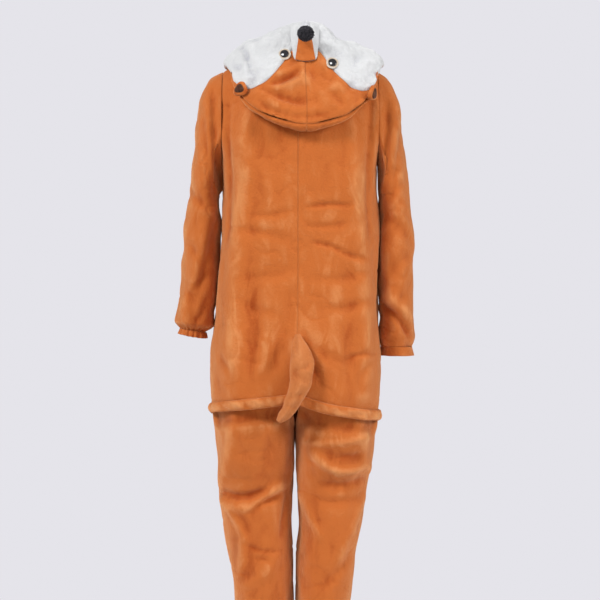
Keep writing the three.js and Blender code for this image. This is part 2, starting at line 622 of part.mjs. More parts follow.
// A point on the front at a signed distance from the centre, found by halving the range of shares.
function frontPoint(x, v) {
  const side = x >= 0 ? 1 : -1;
  const surface = panelSurface(side, "front", FRONT_YOKE, () => LEG_END_Z);
  let [low, high] = [0, 0.4];
  for (let i = 0; i < 30; i += 1) {
    const s = (low + high) / 2;
    if (side * surface(s, v).x < Math.abs(x)) low = s;
    else high = s;
  }
  return surface((low + high) / 2, v);
}
const frontPlace = (z) => {
  let [low, high] = [0, 1];
  for (let i = 0; i < 30; i += 1) {
    const v = (low + high) / 2;
    if (frontPoint(0, v).z > z) low = v;
    else high = v;
  }
  return (low + high) / 2;
};
const placketTop = frontPlace(PLACKET.topZ);
const placketEnd = frontPlace(PLACKET.bottomZ);
add(
  "placket",
  clothWall(
    (u, v) => frontPoint(mix(-PLACKET.halfWidth, PLACKET.halfWidth, u), v),
    [0, 0.25, 0.5, 0.75, 1],
    [placketTop, ...FRONT_ROWS.filter((v) => v > placketTop && v < placketEnd), placketEnd],
    { facing: -1, thickness: PLACKET.thickness, offset: () => PLACKET.thickness + 3 * SEAM },
  ),
  "orange",
);
for (let i = 0; i < BUTTON.count; i += 1) {
  const v = frontPlace(BUTTON.firstZ - i * BUTTON.pitch);
  const p = frontPoint(0, v);
  const normal = normalAt((u, w) => frontPoint(mix(-5, 5, u), w), 0.5, v, -1);
  placeDisc(`button_${i + 1}`, "tan", p, normal, {
    width: BUTTON.radius,
    height: BUTTON.radius,
    thickness: BUTTON.thickness,
    clear: PLACKET.thickness + 5 * SEAM,
  });
}

// A round or oval disc lying on a surface: clear is the gap between the surface and its underside.
function placeDisc(name, colour, point, normal, { width, height, thickness, clear, sides = 14 }) {
  const geometry = new THREE.CylinderGeometry(1, 1, thickness, sides);
  geometry.scale(width, 1, height);
  const turn = new THREE.Quaternion().setFromUnitVectors(new THREE.Vector3(0, 1, 0), normal);
  geometry.applyQuaternion(turn);
  const centre = point.clone().addScaledVector(normal, clear + thickness / 2);
  geometry.translate(centre.x, centre.y, centre.z);
  add(name, geometry, colour);
}

// ---------- hood ----------

// A point on the hood. angle: signed degrees round the neck from the centre back. place: from the
// neckline (0) under the hood to the rolled fold (1), round it (2) and up the outside to the rim (3).
function hoodPoint(angle, place) {
  const side = angle < 0 ? -1 : 1;
  const s = row(HOOD_TABLE, "at", Math.abs(angle));
  const a = (Math.abs(angle) * Math.PI) / 180;
  const [sine, cosine] = [Math.sin(a), Math.cos(a)];
  const middle = HOOD_X * smooth((160 - Math.abs(angle)) / 80);
  const neck = new THREE.Vector3(
    side * NECK.halfWidth * sine,
    (cosine > 0 ? NECK.back : NECK.front) * cosine,
    5 * SEAM - (cosine > 0 ? NECK.backDip * cosine : NECK.frontDip * Math.abs(cosine) ** NECK.dipPower),
  );
  const fold = new THREE.Vector3(middle + side * s.foldX, s.foldY, s.foldZ);
  const size = Math.abs(angle);
  const sagging = smooth((size - HOOD_SAG.from) / HOOD_SAG.blend) * smooth((HOOD_SAG.to - size) / HOOD_SAG.blend);
  const sag = sagging * (side < 0 ? HOOD_SAG.right : HOOD_SAG.left);
  const rim = new THREE.Vector3(middle + side * s.rimX, s.rimY, s.rimZ - sag);
  const control = (share, z) => neck.clone().lerp(fold, share).setZ(z);
  const under = control(s.underS, s.underZ);
  // The roll is half a circle: away points past the fold, up points from its underside to its outside.
  const away = fold.clone().sub(under).normalize();
  const plan = fold.clone().sub(neck).setZ(0).normalize();
  const up = plan.multiplyScalar(-away.z).setZ(Math.hypot(away.x, away.y));
  const end = fold.clone().addScaledVector(away, -s.turn);
  const middleOfRoll = end.clone().addScaledVector(up, s.turn);
  if (place <= 1) return bezier([neck, under, end], place);
  if (place <= 2) {
    const bend = (place - 1) * Math.PI;
    return middleOfRoll
      .clone()
      .addScaledVector(up, -s.turn * Math.cos(bend))
      .addScaledVector(away, s.turn * Math.sin(bend));
  }
  const start = middleOfRoll.clone().addScaledVector(up, s.turn);
  const outer1 = control(s.outer1S, s.outer1Z - HOOD_SAG.outer1 * sag);
  const outer2 = control(s.outer2S, s.outer2Z - sag);
  return bezier([start, outer1, outer2, rim], place - 2);
}

// A point on a Bezier curve with any number of control points.
function bezier(points, t) {
  if (points.length === 1) return points[0].clone();
  return bezier(
    points.slice(1).map((p, i) => points[i].clone().lerp(p, t)),
    t,
  );
}

const cheekSeam = (angle) => column(CHEEK_SEAM, "at", "share", angle);
const HOOD_GAP = 0.004; // share of the outside kept clear at a seam
const HOOD_CENTRE = 0.25; // degrees kept clear at the centre seam
const HOOD_ANGLES = [HOOD_CENTRE, ...steps(0, 180, 2 * NECK_COLUMNS).slice(1, -1), HOOD_END];
// The outside has one more column beside the snout, where it bends most.
const SNOUT_SIDE = 90 / (2 * NECK_COLUMNS);
const OUTSIDE_ANGLES = [HOOD_CENTRE, SNOUT_SIDE, ...HOOD_ANGLES.slice(1)];
const CROWN_ANGLES = [...OUTSIDE_ANGLES.filter((angle) => angle < CROWN_END), CROWN_END - 1];
for (const { name, side } of SIDES) {
  const options = { facing: -side, square: true };
  add(
    `hood_back_${name}`,
    clothWall(
      (angle, place) => hoodPoint(side * angle, place),
      HOOD_ANGLES,
      [0, 0.2, 0.4, 0.7, 1, 1.33, 1.67, 2],
      options,
    ),
    "orange",
  );
  add(
    `hood_crown_${name}`,
    clothWall(
      (angle, v) => hoodPoint(side * angle, 2 + mix(HOOD_GAP, cheekSeam(angle) - HOOD_GAP, v)),
      CROWN_ANGLES,
      steps(0, 1, 5),
      options,
    ),
    "orange",
  );
  add(
    `hood_cheek_${name}`,
    clothWall(
      (angle, v) => hoodPoint(side * angle, 2 + mix(cheekSeam(angle) + HOOD_GAP, 1, v)),
      OUTSIDE_ANGLES,
      steps(0, 1, 5),
      options,
    ),
    "white",
  );
}

// The snout is padded, and stands up towards the nose. u runs across it and v up it. The stripe under
// the nose covers the middle half of its columns, and narrows towards the nose.
const SNOUT_GRID = steps(0, 1, 8);
const snoutHeight = (u, v) => {
  const across = Math.max(0, 1 - (2 * u - 1) ** 2) ** SNOUT.arch;
  const top = Math.max(0, v - SNOUT.crest) / (1 - SNOUT.crest);
  return SNOUT.edge + SNOUT.height * across * smooth(v / 0.8) * Math.sqrt(Math.max(0, 1 - top ** 2));
};
const snoutPoint = (u, v) => {
  const out = Math.abs(2 * u - 1);
  const edge = mix(SNOUT.bottomAngle, SNOUT.topAngle, v);
  const stripe = mix(STRIPE.bottomAngle, STRIPE.topAngle, v);
  const size = out < 0.5 ? 2 * out * stripe : mix(stripe, edge, 2 * out - 1);
  const bottom = SNOUT.bottomShare - SNOUT.sag * (1 - out ** 2);
  return hoodPoint(Math.sign(2 * u - 1) * size, 2 + mix(bottom, SNOUT.topShare, v));
};
add(
  "snout",
  clothWall(snoutPoint, SNOUT_GRID, SNOUT_GRID, {
    facing: -1,
    thickness: snoutHeight,
    offset: (u, v) => snoutHeight(u, v) + 6 * SEAM,
  }),
  "white",
);
add(
  "muzzle_stripe",
  clothWall(snoutPoint, SNOUT_GRID.slice(2, 7), SNOUT_GRID.slice(0, 5), {
    facing: -1,
    thickness: STRIPE.thickness,
    offset: (u, v) => snoutHeight(u, v) + 9 * SEAM + STRIPE.thickness,
  }),
  "orange",
);

const nose = new THREE.SphereGeometry(1, 14, 9);
nose.scale(NOSE.radiusX, NOSE.radiusY, NOSE.radiusZ);
nose.translate(NOSE.x, NOSE.y, NOSE.z);
add("nose", nose, "black", 0.7);

const hoodNormal = (at, share) => {
  const span = 4;
  return normalAt((u, v) => hoodPoint(at + mix(-span, span, u), 2 + share + (v - 0.5) * 0.05), 0.5, 0.5, -1);
};
for (const eye of EYES) {
  const p = hoodPoint(eye.at, 2 + eye.share);
  const normal = hoodNormal(eye.at, eye.share);
  const disc = (name, colour, radius, clear, centre = p) =>
    placeDisc(`${name}_${eye.name}`, colour, centre, normal, {
      width: radius,
      height: radius,
      thickness: EYE.thickness,
      clear,
    });
  disc("eye_ring", "tan", EYE.ring, 1);
  disc("pupil", "black", EYE.pupil, 1 + EYE.thickness + SEAM);
}
for (const ear of EARS) {
  const p = hoodPoint(ear.at, 2 + ear.share);
  const normal = hoodNormal(ear.at, ear.share);
  placeDisc(`ear_${ear.name}`, "orange", p, normal, {
    width: EAR.halfWidth,
    height: EAR.halfHeight,
    thickness: EAR.thickness,
    clear: 2,
  });
  placeDisc(`inner_ear_${ear.name}`, "brown", p, normal, {
    width: ear.innerWidth,
    height: ear.innerHeight,
    thickness: EAR.innerThickness,
    clear: 2 + EAR.thickness + SEAM,
  });
}

export default onesie;
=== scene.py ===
import bpy
import numpy as np
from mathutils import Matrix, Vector


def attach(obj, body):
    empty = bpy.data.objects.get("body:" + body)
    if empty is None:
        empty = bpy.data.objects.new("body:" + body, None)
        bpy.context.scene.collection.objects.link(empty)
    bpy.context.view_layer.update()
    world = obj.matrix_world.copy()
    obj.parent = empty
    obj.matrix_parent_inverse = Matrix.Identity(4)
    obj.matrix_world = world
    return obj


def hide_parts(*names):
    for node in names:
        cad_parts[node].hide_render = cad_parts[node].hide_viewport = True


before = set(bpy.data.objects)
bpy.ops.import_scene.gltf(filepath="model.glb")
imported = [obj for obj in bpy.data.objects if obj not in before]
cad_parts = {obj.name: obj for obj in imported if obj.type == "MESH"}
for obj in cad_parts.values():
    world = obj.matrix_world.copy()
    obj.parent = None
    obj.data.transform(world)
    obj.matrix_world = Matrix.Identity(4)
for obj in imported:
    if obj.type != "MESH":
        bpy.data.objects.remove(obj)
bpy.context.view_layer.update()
metre = 0.001
pi = np.pi

# Sizes shared by several pieces.

cloth = {"wall": 3.0, "seam": 0.3, "shadeReach": 60.0, "shadeGain": 0.13, "leastShare": 0.32}
yoke = {
    "underarmZ": -308, "shoulderDrop": 38, "neckShare": 0.31, "centreGap": 0.0003,
    "left": 172, "right": 182, "halfDepth": 92,
}
neck = {"halfWidth": 80, "back": 60, "front": 78, "backDip": 12, "frontDip": 56, "dipPower": 2.2}
body = {
    "z": [-308, -450, -584, -690, -770, -825, -867, -930, -998, -1070, -1150, -1251, -1322, -1350, -1376],
    "left": [172, 177, 189, 201, 199, 195, 190, 186, 182, 172, 160, 143, 132, 117, 115],
    "right": [182, 184, 183, 185, 189, 187, 179, 169, 155, 146, 131, 120, 109, 94, 92],
    "front": [125, 132, 142, 147, 145, 136, 126, 116, 107, 99, 92, 84, 76, 58, 56],
    "back": [132, 129, 135, 149, 153, 143, 131, 119, 98, 94, 93, 87, 79, 61, 59],
    "seamX": [0, 0, 1, 2, 4, 6, 7, 7, 7, 7, 8, 8, 8, 8, 8],
    "gap": [0, 0, 0, 0, 0, 0, 1, 5, 12, 14, 9, 8, 10, 38, 42],
    "split": [0, 0, 0, 0, 0.1, 0.52, 1, 1, 1, 1, 1, 1, 1, 1, 1],
}
bodyShape = {"exponent": 2.8, "legExponent": 2.3, "legEnd": -1350, "hem": -1376}
sides = {"left": 1, "right": -1}


# Tables, blends and waves.

# A table's value at a place between its rows: a cubic that keeps to the rows' range, with the harmonic
# mean of the two neighbouring slopes at each row.
def columnAt(table, key, name, place):
    x, y = np.array(table[key], float), np.array(table[name], float)
    if x[0] > x[-1]:
        x, y = x[::-1], y[::-1]
    rate = np.diff(y) / np.diff(x)
    product = rate[:-1] * rate[1:]
    total = np.where(product > 0, rate[:-1] + rate[1:], 1)
    inner = np.where(product > 0, 2 * product / total, 0)
    slope = np.concatenate([rate[:1], inner, rate[-1:]])
    i = np.clip(np.searchsorted(x, place, side="right") - 1, 0, len(x) - 2)
    span = x[i + 1] - x[i]
    t = np.clip((place - x[i]) / span, 0, 1)
    t2, t3 = t**2, t**3
    ends = (2 * t3 - 3 * t2 + 1) * y[i] + (3 * t2 - 2 * t3) * y[i + 1]
    return ends + span * ((t3 - 2 * t2 + t) * slope[i] + (t3 - t2) * slope[i + 1])


def mix(a, b, t):
    return a + (b - a) * t


def smooth(t):
    c = np.clip(t, 0, 1)
    return c * c * (3 - 2 * c)


def point(x, y, z):
    return np.stack(np.broadcast_arrays(x, y, z), axis=-1).astype(float)


# Distance from the middle of a superellipse to its edge, at an angle given by its sine and cosine.
def superellipse(sine, cosine, across, along, n):
    return (np.abs(sine / across) ** n + np.abs(cosine / along) ** n) ** (-1 / n)


# A soft wave in space: the mean of sine waves in random directions, each near the given wavelength.
def softWave(points, wavelength, seed, stretch=(1, 1, 1)):
    rng = np.random.default_rng(seed)
    count = 9
    directions = rng.normal(size=(count, 3))
    directions /= np.linalg.norm(directions, axis=1)[:, None]
    rates = 2 * pi / (wavelength * rng.uniform(0.7, 1.4, count))
    phases = rng.uniform(0, 2 * pi, count)
    turns = (points / np.array(stretch)) @ (directions * rates[:, None]).T + phases
    return np.sin(turns).sum(axis=-1) / np.sqrt(count / 2)


# Creases: narrow lines where a warped soft wave passes through nought, 1 on the line and 0 away from it.
def creaseLines(points, wavelength, seed, narrow=0.3, stretch=(1, 1, 1)):
    bend = softWave(points, wavelength * 0.8, seed + 1)[..., None] * wavelength * 0.12
    wave = softWave(points + bend, wavelength, seed, stretch)
    broken = smooth(0.5 + 0.6 * softWave(points, wavelength * 1.3, seed + 2))
    return np.exp(-((wave / narrow) ** 2)) * broken


# Folds seen in x and z. Each is (x0, z0, x1, z1, bow, width, height): a bell across a line from one point
# to the other, bowed sideways in the middle, tapering off past both ends. Height is negative in a trough.
def foldHeight(folds, x, z):
    total = np.zeros(np.broadcast(x, z).shape)
    for x0, z0, x1, z1, bow, width, height in folds:
        dx, dz = x1 - x0, z1 - z0
        length = np.hypot(dx, dz)
        along = ((x - x0) * dx + (z - z0) * dz) / length
        across = ((x - x0) * dz - (z - z0) * dx) / length
        t = np.clip(along / length, 0, 1)
        across = across - 4 * bow * t * (1 - t)
        past = np.maximum(np.maximum(-along, along - length), 0)
        taper = 0.35 + 0.65 * np.sqrt(np.sin(pi * np.clip(t, 0.02, 0.98)))
        total += height * taper * np.exp(-((across / width) ** 2) - (past / (1.2 * width)) ** 2)
    return total


# Meshes.

# Normals of a grid of points, from the cross product of its differences along rows and columns.
def gridNormals(grid, closed):
    wrapped = np.concatenate([grid[:, -1:], grid, grid[:, :1]], axis=1) if closed else grid
    du = np.gradient(wrapped, axis=1)
    dv = np.gradient(wrapped, axis=0)
    normal = np.cross(du, dv)
    if closed:
        normal = normal[:, 1:-1]
    return normal / np.maximum(np.linalg.norm(normal, axis=-1, keepdims=True), 1e-9)


# Distance of each grid point along its row or column from the named edges, in millimetres.
def edgeDistance(grid, edges):
    rows, columns = grid.shape[:2]
    far = np.full((rows, columns), 1e3)
    across = np.linalg.norm(np.diff(grid, axis=1), axis=-1)
    down = np.linalg.norm(np.diff(grid, axis=0), axis=-1)
    u = np.concatenate([np.zeros((rows, 1)), across.cumsum(axis=1)], axis=1)
    v = np.concatenate([np.zeros((1, columns)), down.cumsum(axis=0)], axis=0)
    reach = {"first": u, "last": u[:, -1:] - u, "top": v, "bottom": v[-1:] - v}
    for edge in edges:
        far = np.minimum(far, reach[edge])
    return far


# The mean of a field over a window of rows and columns, by running sums along each axis.
def windowMean(field, reach, closed):
    for axis, half in enumerate(reach):
        if half < 1:
            continue
        mode = "wrap" if closed and axis == 1 else "edge"
        pad = [(0, 0), (0, 0)]
        pad[axis] = (half + 1, half)
        total = np.pad(field, pad, mode=mode).cumsum(axis=axis)
        width = 2 * half + 1
        size = field.shape[axis]
        high = np.take(total, np.arange(size) + width, axis=axis)
        low = np.take(total, np.arange(size), axis=axis)
        field = (high - low) / width
    return field


# How far each point stands above (towards 1) or below (towards 0) the cloth around it, kept as painted shade
# that the materials paint paler on ridges and darker in troughs.
def shadeOf(grid, height, closed):
    steps = [np.linalg.norm(np.diff(grid, axis=axis), axis=-1).mean() for axis in (0, 1)]
    reach = [int(cloth["shadeReach"] / max(step, 0.5) / 2) for step in steps]
    reach = [min(half, size // 2 - 1) for half, size in zip(reach, grid.shape)]
    local = height - windowMean(height, reach, closed)
    return 0.5 + 0.5 * np.tanh(cloth["shadeGain"] * local)


# A mesh from a grid of points. closed joins the last column to the first. poles: rows that shrink to a
# point at the top and bottom are closed by a fan.
def gridMesh(name, grid, shade, closed=False, flip=False, poles=False):
    rows, columns = grid.shape[:2]
    index = np.arange(rows * columns).reshape(rows, columns)
    right = np.roll(index, -1, axis=1) if closed else index[:, 1:]
    left = index if closed else index[:, :-1]
    quads = np.stack([left[:-1], right[:-1], right[1:], left[1:]], axis=-1).reshape(-1, 4)
    faces = quads.tolist()
    points, values = grid.reshape(-1, 3), shade.reshape(-1)
    if poles:
        ends = np.stack([grid[0].mean(axis=0), grid[-1].mean(axis=0)])
        count = len(points)
        points = np.concatenate([points, ends])
        values = np.concatenate([values, [shade[0].mean(), shade[-1].mean()]])
        first, last = index[0], index[-1]
        faces += np.stack([np.full(columns, count), np.roll(first, -1), first], axis=-1).tolist()
        faces += np.stack([np.full(columns, count + 1), last, np.roll(last, -1)], axis=-1).tolist()
    if flip:
        faces = [face[::-1] for face in faces]
    mesh = bpy.data.meshes.new(name)
    mesh.from_pydata((points * metre).tolist(), [], faces)
    mesh.polygons.foreach_set("use_smooth", np.ones(len(faces), bool))
    mesh.attributes.new("shade", "FLOAT", "POINT").data.foreach_set("value", values.astype(np.float32))
    mesh.update()
    return mesh


def addPiece(name, node, material, mesh):
    piece = bpy.data.objects.new(name, mesh)
    bpy.context.scene.collection.objects.link(piece)
    mesh.materials.append(material)
    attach(piece, "root")
    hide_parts(node)
    return piece


# A cloth wall on a grid: raised by height along its normals, drawn in at its sewn edges, and given its
# thickness inwards. Its size as a cut sheet is worked out, and nothing is done with it.
def clothPiece(name, grid, height, material, facing, sewn=(), closed=False,
               thickness=None, dip=1.1, dipWidth=3.5, toneAndShade=0.0):
    if sewn:
        deep, soft = edgeDistance(grid, sewn), edgeDistance(grid, sewn[:1])
        height = height - dip * np.where(soft <= deep, 0.5, 1) * np.exp(-((deep / dipWidth) ** 2))
    # Painted shade: the relief of folds and sewn edges is kept as shade for the materials to paint into the
    # colour, and each piece's own offset shifts it darker or paler.
    shade = shadeOf(grid, height, closed) + toneAndShade
    normals = gridNormals(grid, closed) * facing
    raised = grid + normals * height[..., None]
    mesh = gridMesh(name, raised, shade, closed, flip=facing < 0)
    piece = addPiece(name + "Cloth", name, material, mesh)
    wall = piece.modifiers.new("wall", "SOLIDIFY")
    wall.thickness = (thickness or cloth["wall"]) * metre
    wall.offset = -1
    declareSheet(raised, closed)
    return piece


# The cut size is the longest row by the longest column of the surface with its folds raised. That adds 15
# % to the right crown's area and 1 % to the left one's. The last min keeps the area within the rounded
# size, which takes 0.5 % off the placket's.
def declareSheet(grid, closed):
    ring = np.concatenate([grid, grid[:, :1]], axis=1) if closed else grid
    width = np.linalg.norm(np.diff(ring, axis=1), axis=-1).sum(axis=1).max() * metre
    length = np.linalg.norm(np.diff(ring, axis=0), axis=-1).sum(axis=0).max() * metre
    du, dv = np.diff(ring, axis=1)[:-1], np.diff(ring, axis=0)[:, :-1]
    area = np.linalg.norm(np.cross(du, dv), axis=-1).sum() * metre**2
    area = float(np.clip(area, cloth["leastShare"] * width * length, width * length))


def gridOf(surface, us, vs):
    u, v = np.meshgrid(us, vs)
    return surface(u, v)


# Materials.

def newSocket(group, name, kind, inward=True, value=None):
    way = "INPUT" if inward else "OUTPUT"
    socket = group.interface.new_socket(name=name, in_out=way, socket_type="NodeSocket" + kind)
    if value is not None:
        socket.default_value = value
    return socket


def addNode(tree, kind, place, **settings):
    node = tree.nodes.new(kind)
    node.location = place
    for key, value in settings.items():
        setattr(node, key, value)
    return node


# Noise at a scale given in waves to the metre.
def addNoise(tree, vector, scale, detail, roughness, place, distortion=0.0):
    noise = addNode(tree, "ShaderNodeTexNoise", place)
    noise.inputs["Scale"].default_value = scale
    noise.inputs["Detail"].default_value = detail
    noise.inputs["Roughness"].default_value = roughness
    noise.inputs["Distortion"].default_value = distortion
    tree.links.new(vector, noise.inputs["Vector"])
    return noise.outputs["Fac"]


# A value taken from one range to another, with smooth ends.
def remap(tree, value, low, high, to0, to1, place):
    node = addNode(tree, "ShaderNodeMapRange", place, interpolation_type="SMOOTHSTEP")
    node.inputs["From Min"].default_value = low
    node.inputs["From Max"].default_value = high
    node.inputs["To Min"].default_value = to0
    node.inputs["To Max"].default_value = to1
    tree.links.new(value, node.inputs["Value"])
    return node.outputs["Result"]


def mathNode(tree, operation, a, b, place):
    node = addNode(tree, "ShaderNodeMath", place, operation=operation)
    for socket, value in zip(node.inputs, (a, b)):
        if isinstance(value, (int, float)):
            socket.default_value = value
        else:
            tree.links.new(value, socket)
    return node.outputs[0]


def mixColour(tree, factor, a, b, place):
    node = addNode(tree, "ShaderNodeMix", place, data_type="RGBA")
    for socket, value in ((node.inputs["Factor"], factor), (node.inputs[6], a), (node.inputs[7], b)):
        tree.links.new(value, socket)
    return node.outputs[2]


# Plush: the pile lies over in patches that catch the light, is painted redder and darker down in creases as
# painted shade and paler on ridges as painted highlight, and breaks up into tufts and single fibres.
def plushGroup():
    group = bpy.data.node_groups.new("plushPile", "ShaderNodeTree")
    for name in ("Ground", "Pale", "Deep"):
        newSocket(group, name, "Color", value=(0.5, 0.5, 0.5, 1))
    newSocket(group, "Shade", "Float", value=0.5)
    newSocket(group, "Patches", "Float", value=0.5)
    newSocket(group, "Tufts", "Float", value=0.5)
    newSocket(group, "Color", "Color", inward=False)
    newSocket(group, "Height", "Float", inward=False)
    newSocket(group, "Rough", "Float", inward=False)
    given = addNode(group, "NodeGroupInput", (-1400, 0))
    result = addNode(group, "NodeGroupOutput", (900, 0))
    where = addNode(group, "ShaderNodeTexCoord", (-1400, -400)).outputs["Object"]
    combed = addNode(group, "ShaderNodeMapping", (-1200, -500))
    combed.inputs["Scale"].default_value = (1, 1, 0.42)
    group.links.new(where, combed.inputs["Vector"])
    along = combed.outputs["Vector"]
    broad = addNoise(group, along, 5, 3, 0.6, (-1000, 300), 0.7)
    streaks = addNoise(group, along, 26, 2, 0.45, (-1000, 50), 1.6)
    tufts = addNoise(group, where, 210, 4, 0.62, (-1000, -200), 0.3)
    fibres = addNoise(group, along, 1100, 2, 0.6, (-1000, -450))
    patches = remap(group, broad, 0.34, 0.66, -1, 1, (-800, 300))
    brushed = remap(group, streaks, 0.36, 0.64, -1, 1, (-800, 50))
    lumps = remap(group, tufts, 0.3, 0.7, -1, 1, (-800, -200))
    hairs = remap(group, fibres, 0.3, 0.7, -1, 1, (-800, -450))
    large = mathNode(group, "MULTIPLY", patches, 0.45, (-600, 300))
    middle = mathNode(group, "MULTIPLY", brushed, 0.55, (-600, 100))
    nap = mathNode(group, "ADD", large, middle, (-450, 200))
    nap = mathNode(group, "MULTIPLY", nap, given.outputs["Patches"], (-300, 200))
    fine = mathNode(group, "MULTIPLY", lumps, 0.6, (-600, -200))
    finest = mathNode(group, "MULTIPLY", hairs, 0.4, (-600, -350))
    pile = mathNode(group, "ADD", fine, finest, (-450, -250))
    pile = mathNode(group, "MULTIPLY", pile, given.outputs["Tufts"], (-300, -250))
    toneAndShade = mathNode(group, "ADD", nap, pile, (-150, 0))
    # Painted shade and highlight: the Shade input, the relief of the folds, paints the colour deeper and
    # redder in creases and paler on ridges.
    paintedFoldShade = remap(group, given.outputs["Shade"], 0.0, 1.0, -1.15, 0.85, (-600, 500))
    toneAndShade = mathNode(group, "ADD", toneAndShade, paintedFoldShade, (0, 150))
    bright = remap(group, toneAndShade, -0.1, 1.3, 0, 1, (200, 250))
    dark = remap(group, toneAndShade, -0.15, -1.5, 0, 1, (200, -50))
    lit = mixColour(group, bright, given.outputs["Ground"], given.outputs["Pale"], (400, 200))
    colour = mixColour(group, dark, lit, given.outputs["Deep"], (600, 100))
    group.links.new(colour, result.inputs["Color"])
    clumps = mathNode(group, "MULTIPLY", lumps, 0.65, (400, -300))
    strands = mathNode(group, "MULTIPLY", hairs, 0.35, (400, -450))
    relief = mathNode(group, "ADD", clumps, strands, (550, -350))
    group.links.new(relief, result.inputs["Height"])
    group.links.new(remap(group, tufts, 0.2, 0.8, 0.98, 0.82, (400, -600)), result.inputs["Rough"])
    return group


# Colours are linear red, green, blue. Besides the random patches and the eye rings' own pale rim, pale is
# the painted highlight on ridges and deep the painted shade in creases.
plushLooks = {
    "orangePlush": {
        "ground": (0.59, 0.150, 0.030), "pale": (0.76, 0.300, 0.105), "deep": (0.40, 0.066, 0.009),
        "patches": 0.4, "tufts": 0.14, "bump": 0.5, "sheen": 0.9, "tint": (1.0, 0.56, 0.28),
    },
    "tailPlush": {
        "ground": (0.62, 0.195, 0.055), "pale": (0.78, 0.32, 0.125), "deep": (0.44, 0.095, 0.020),
        "patches": 0.4, "tufts": 0.2, "bump": 0.6, "sheen": 0.6, "tint": (1.0, 0.60, 0.36),
    },
    "whitePlush": {
        "ground": (0.77, 0.775, 0.785), "pale": (0.86, 0.86, 0.87), "deep": (0.60, 0.60, 0.64),
        "patches": 0.3, "tufts": 0.5, "bump": 0.75, "sheen": 0.3, "tint": (1.0, 1.0, 1.0),
    },
    "brownPlush": {
        "ground": (0.085, 0.032, 0.018), "pale": (0.17, 0.075, 0.045), "deep": (0.025, 0.010, 0.006),
        "patches": 0.5, "tufts": 0.5, "bump": 0.7, "sheen": 0.3, "tint": (0.9, 0.6, 0.5),
    },
    "blackPlush": {
        "ground": (0.018, 0.016, 0.020), "pale": (0.060, 0.055, 0.064), "deep": (0.004, 0.004, 0.005),
        "patches": 0.4, "tufts": 0.8, "bump": 0.9, "sheen": 0.25, "tint": (0.8, 0.8, 0.9),
    },
    "ringFelt": {
        "ground": (0.52, 0.40, 0.29), "pale": (0.78, 0.72, 0.64), "deep": (0.28, 0.18, 0.10),
        "patches": 0.3, "tufts": 0.6, "bump": 0.4, "sheen": 0.2, "tint": (1.0, 0.9, 0.8),
    },
}


def newMaterial(name):
    material = bpy.data.materials.new(name)
    material.use_nodes = True
    return material, material.node_tree, material.node_tree.nodes["Principled BSDF"]


def plushMaterial(name, look, group):
    material, tree, shader = newMaterial(name)
    pile = addNode(tree, "ShaderNodeGroup", (-600, 0), node_tree=group)
    for key in ("ground", "pale", "deep"):
        pile.inputs[key.capitalize()].default_value = (*look[key], 1)
    pile.inputs["Patches"].default_value = look["patches"]
    pile.inputs["Tufts"].default_value = look["tufts"]
    fold = addNode(tree, "ShaderNodeAttribute", (-800, -100), attribute_name="shade")
    bump = addNode(tree, "ShaderNodeBump", (-300, -300))
    bump.inputs["Strength"].default_value = look["bump"]
    bump.inputs["Distance"].default_value = 0.0012
    links = (
        (fold.outputs["Fac"], pile.inputs["Shade"]),
        (pile.outputs["Color"], shader.inputs["Base Color"]),
        (pile.outputs["Rough"], shader.inputs["Roughness"]),
        (pile.outputs["Height"], bump.inputs["Height"]),
        (bump.outputs["Normal"], shader.inputs["Normal"]),
    )
    for start, end in links:
        tree.links.new(start, end)
    shader.inputs["Sheen Weight"].default_value = look["sheen"]
    shader.inputs["Sheen Roughness"].default_value = 0.45
    shader.inputs["Sheen Tint"].default_value = (*look["tint"], 1)
    shader.inputs["Specular IOR Level"].default_value = 0.12
    return material


# Moulded plastic with faint scuffs. Where the shade attribute is high a second colour is painted over the
# first: a painted highlight on the pupils and painted shade in the buttons' holes.
def plasticMaterial(name, base, paintedSpot, roughness, coat):
    material, tree, shader = newMaterial(name)
    where = addNode(tree, "ShaderNodeTexCoord", (-1000, 0)).outputs["Object"]
    scuffs = addNoise(tree, where, 380, 5, 0.65, (-800, -200), 1.5)
    fold = addNode(tree, "ShaderNodeAttribute", (-800, 200), attribute_name="shade")
    paintedSpotMask = remap(tree, fold.outputs["Fac"], 0.72, 0.82, 0, 1, (-600, 200))
    colour = addNode(tree, "ShaderNodeMix", (-400, 200), data_type="RGBA")
    tree.links.new(paintedSpotMask, colour.inputs["Factor"])
    colour.inputs[6].default_value = (*base, 1)
    colour.inputs[7].default_value = (*paintedSpot, 1)
    tree.links.new(colour.outputs[2], shader.inputs["Base Color"])
    rough = remap(tree, scuffs, 0.35, 0.75, roughness, roughness + 0.14, (-600, -200))
    tree.links.new(rough, shader.inputs["Roughness"])
    bump = addNode(tree, "ShaderNodeBump", (-400, -400))
    bump.inputs["Strength"].default_value = 0.12
    bump.inputs["Distance"].default_value = 0.0003
    tree.links.new(scuffs, bump.inputs["Height"])
    tree.links.new(bump.outputs["Normal"], shader.inputs["Normal"])
    shader.inputs["Coat Weight"].default_value = coat
    shader.inputs["Coat Roughness"].default_value = 0.08
    return material


pile = plushGroup()
looks = {name: plushMaterial(name, look, pile) for name, look in plushLooks.items()}
# Second colours: white as the pupils' painted highlight, near black as painted shade in the buttons' holes.
looks["pupilPlastic"] = plasticMaterial("pupilPlastic", (0.010, 0.009, 0.011), (0.86, 0.86, 0.88), 0.16, 0.6)
looks["buttonPlastic"] = plasticMaterial("buttonPlastic", (0.42, 0.16, 0.06), (0.05, 0.02, 0.01), 0.34, 0.2)
print("materials", len(looks))


# Body: front and back panels, seat and legs.

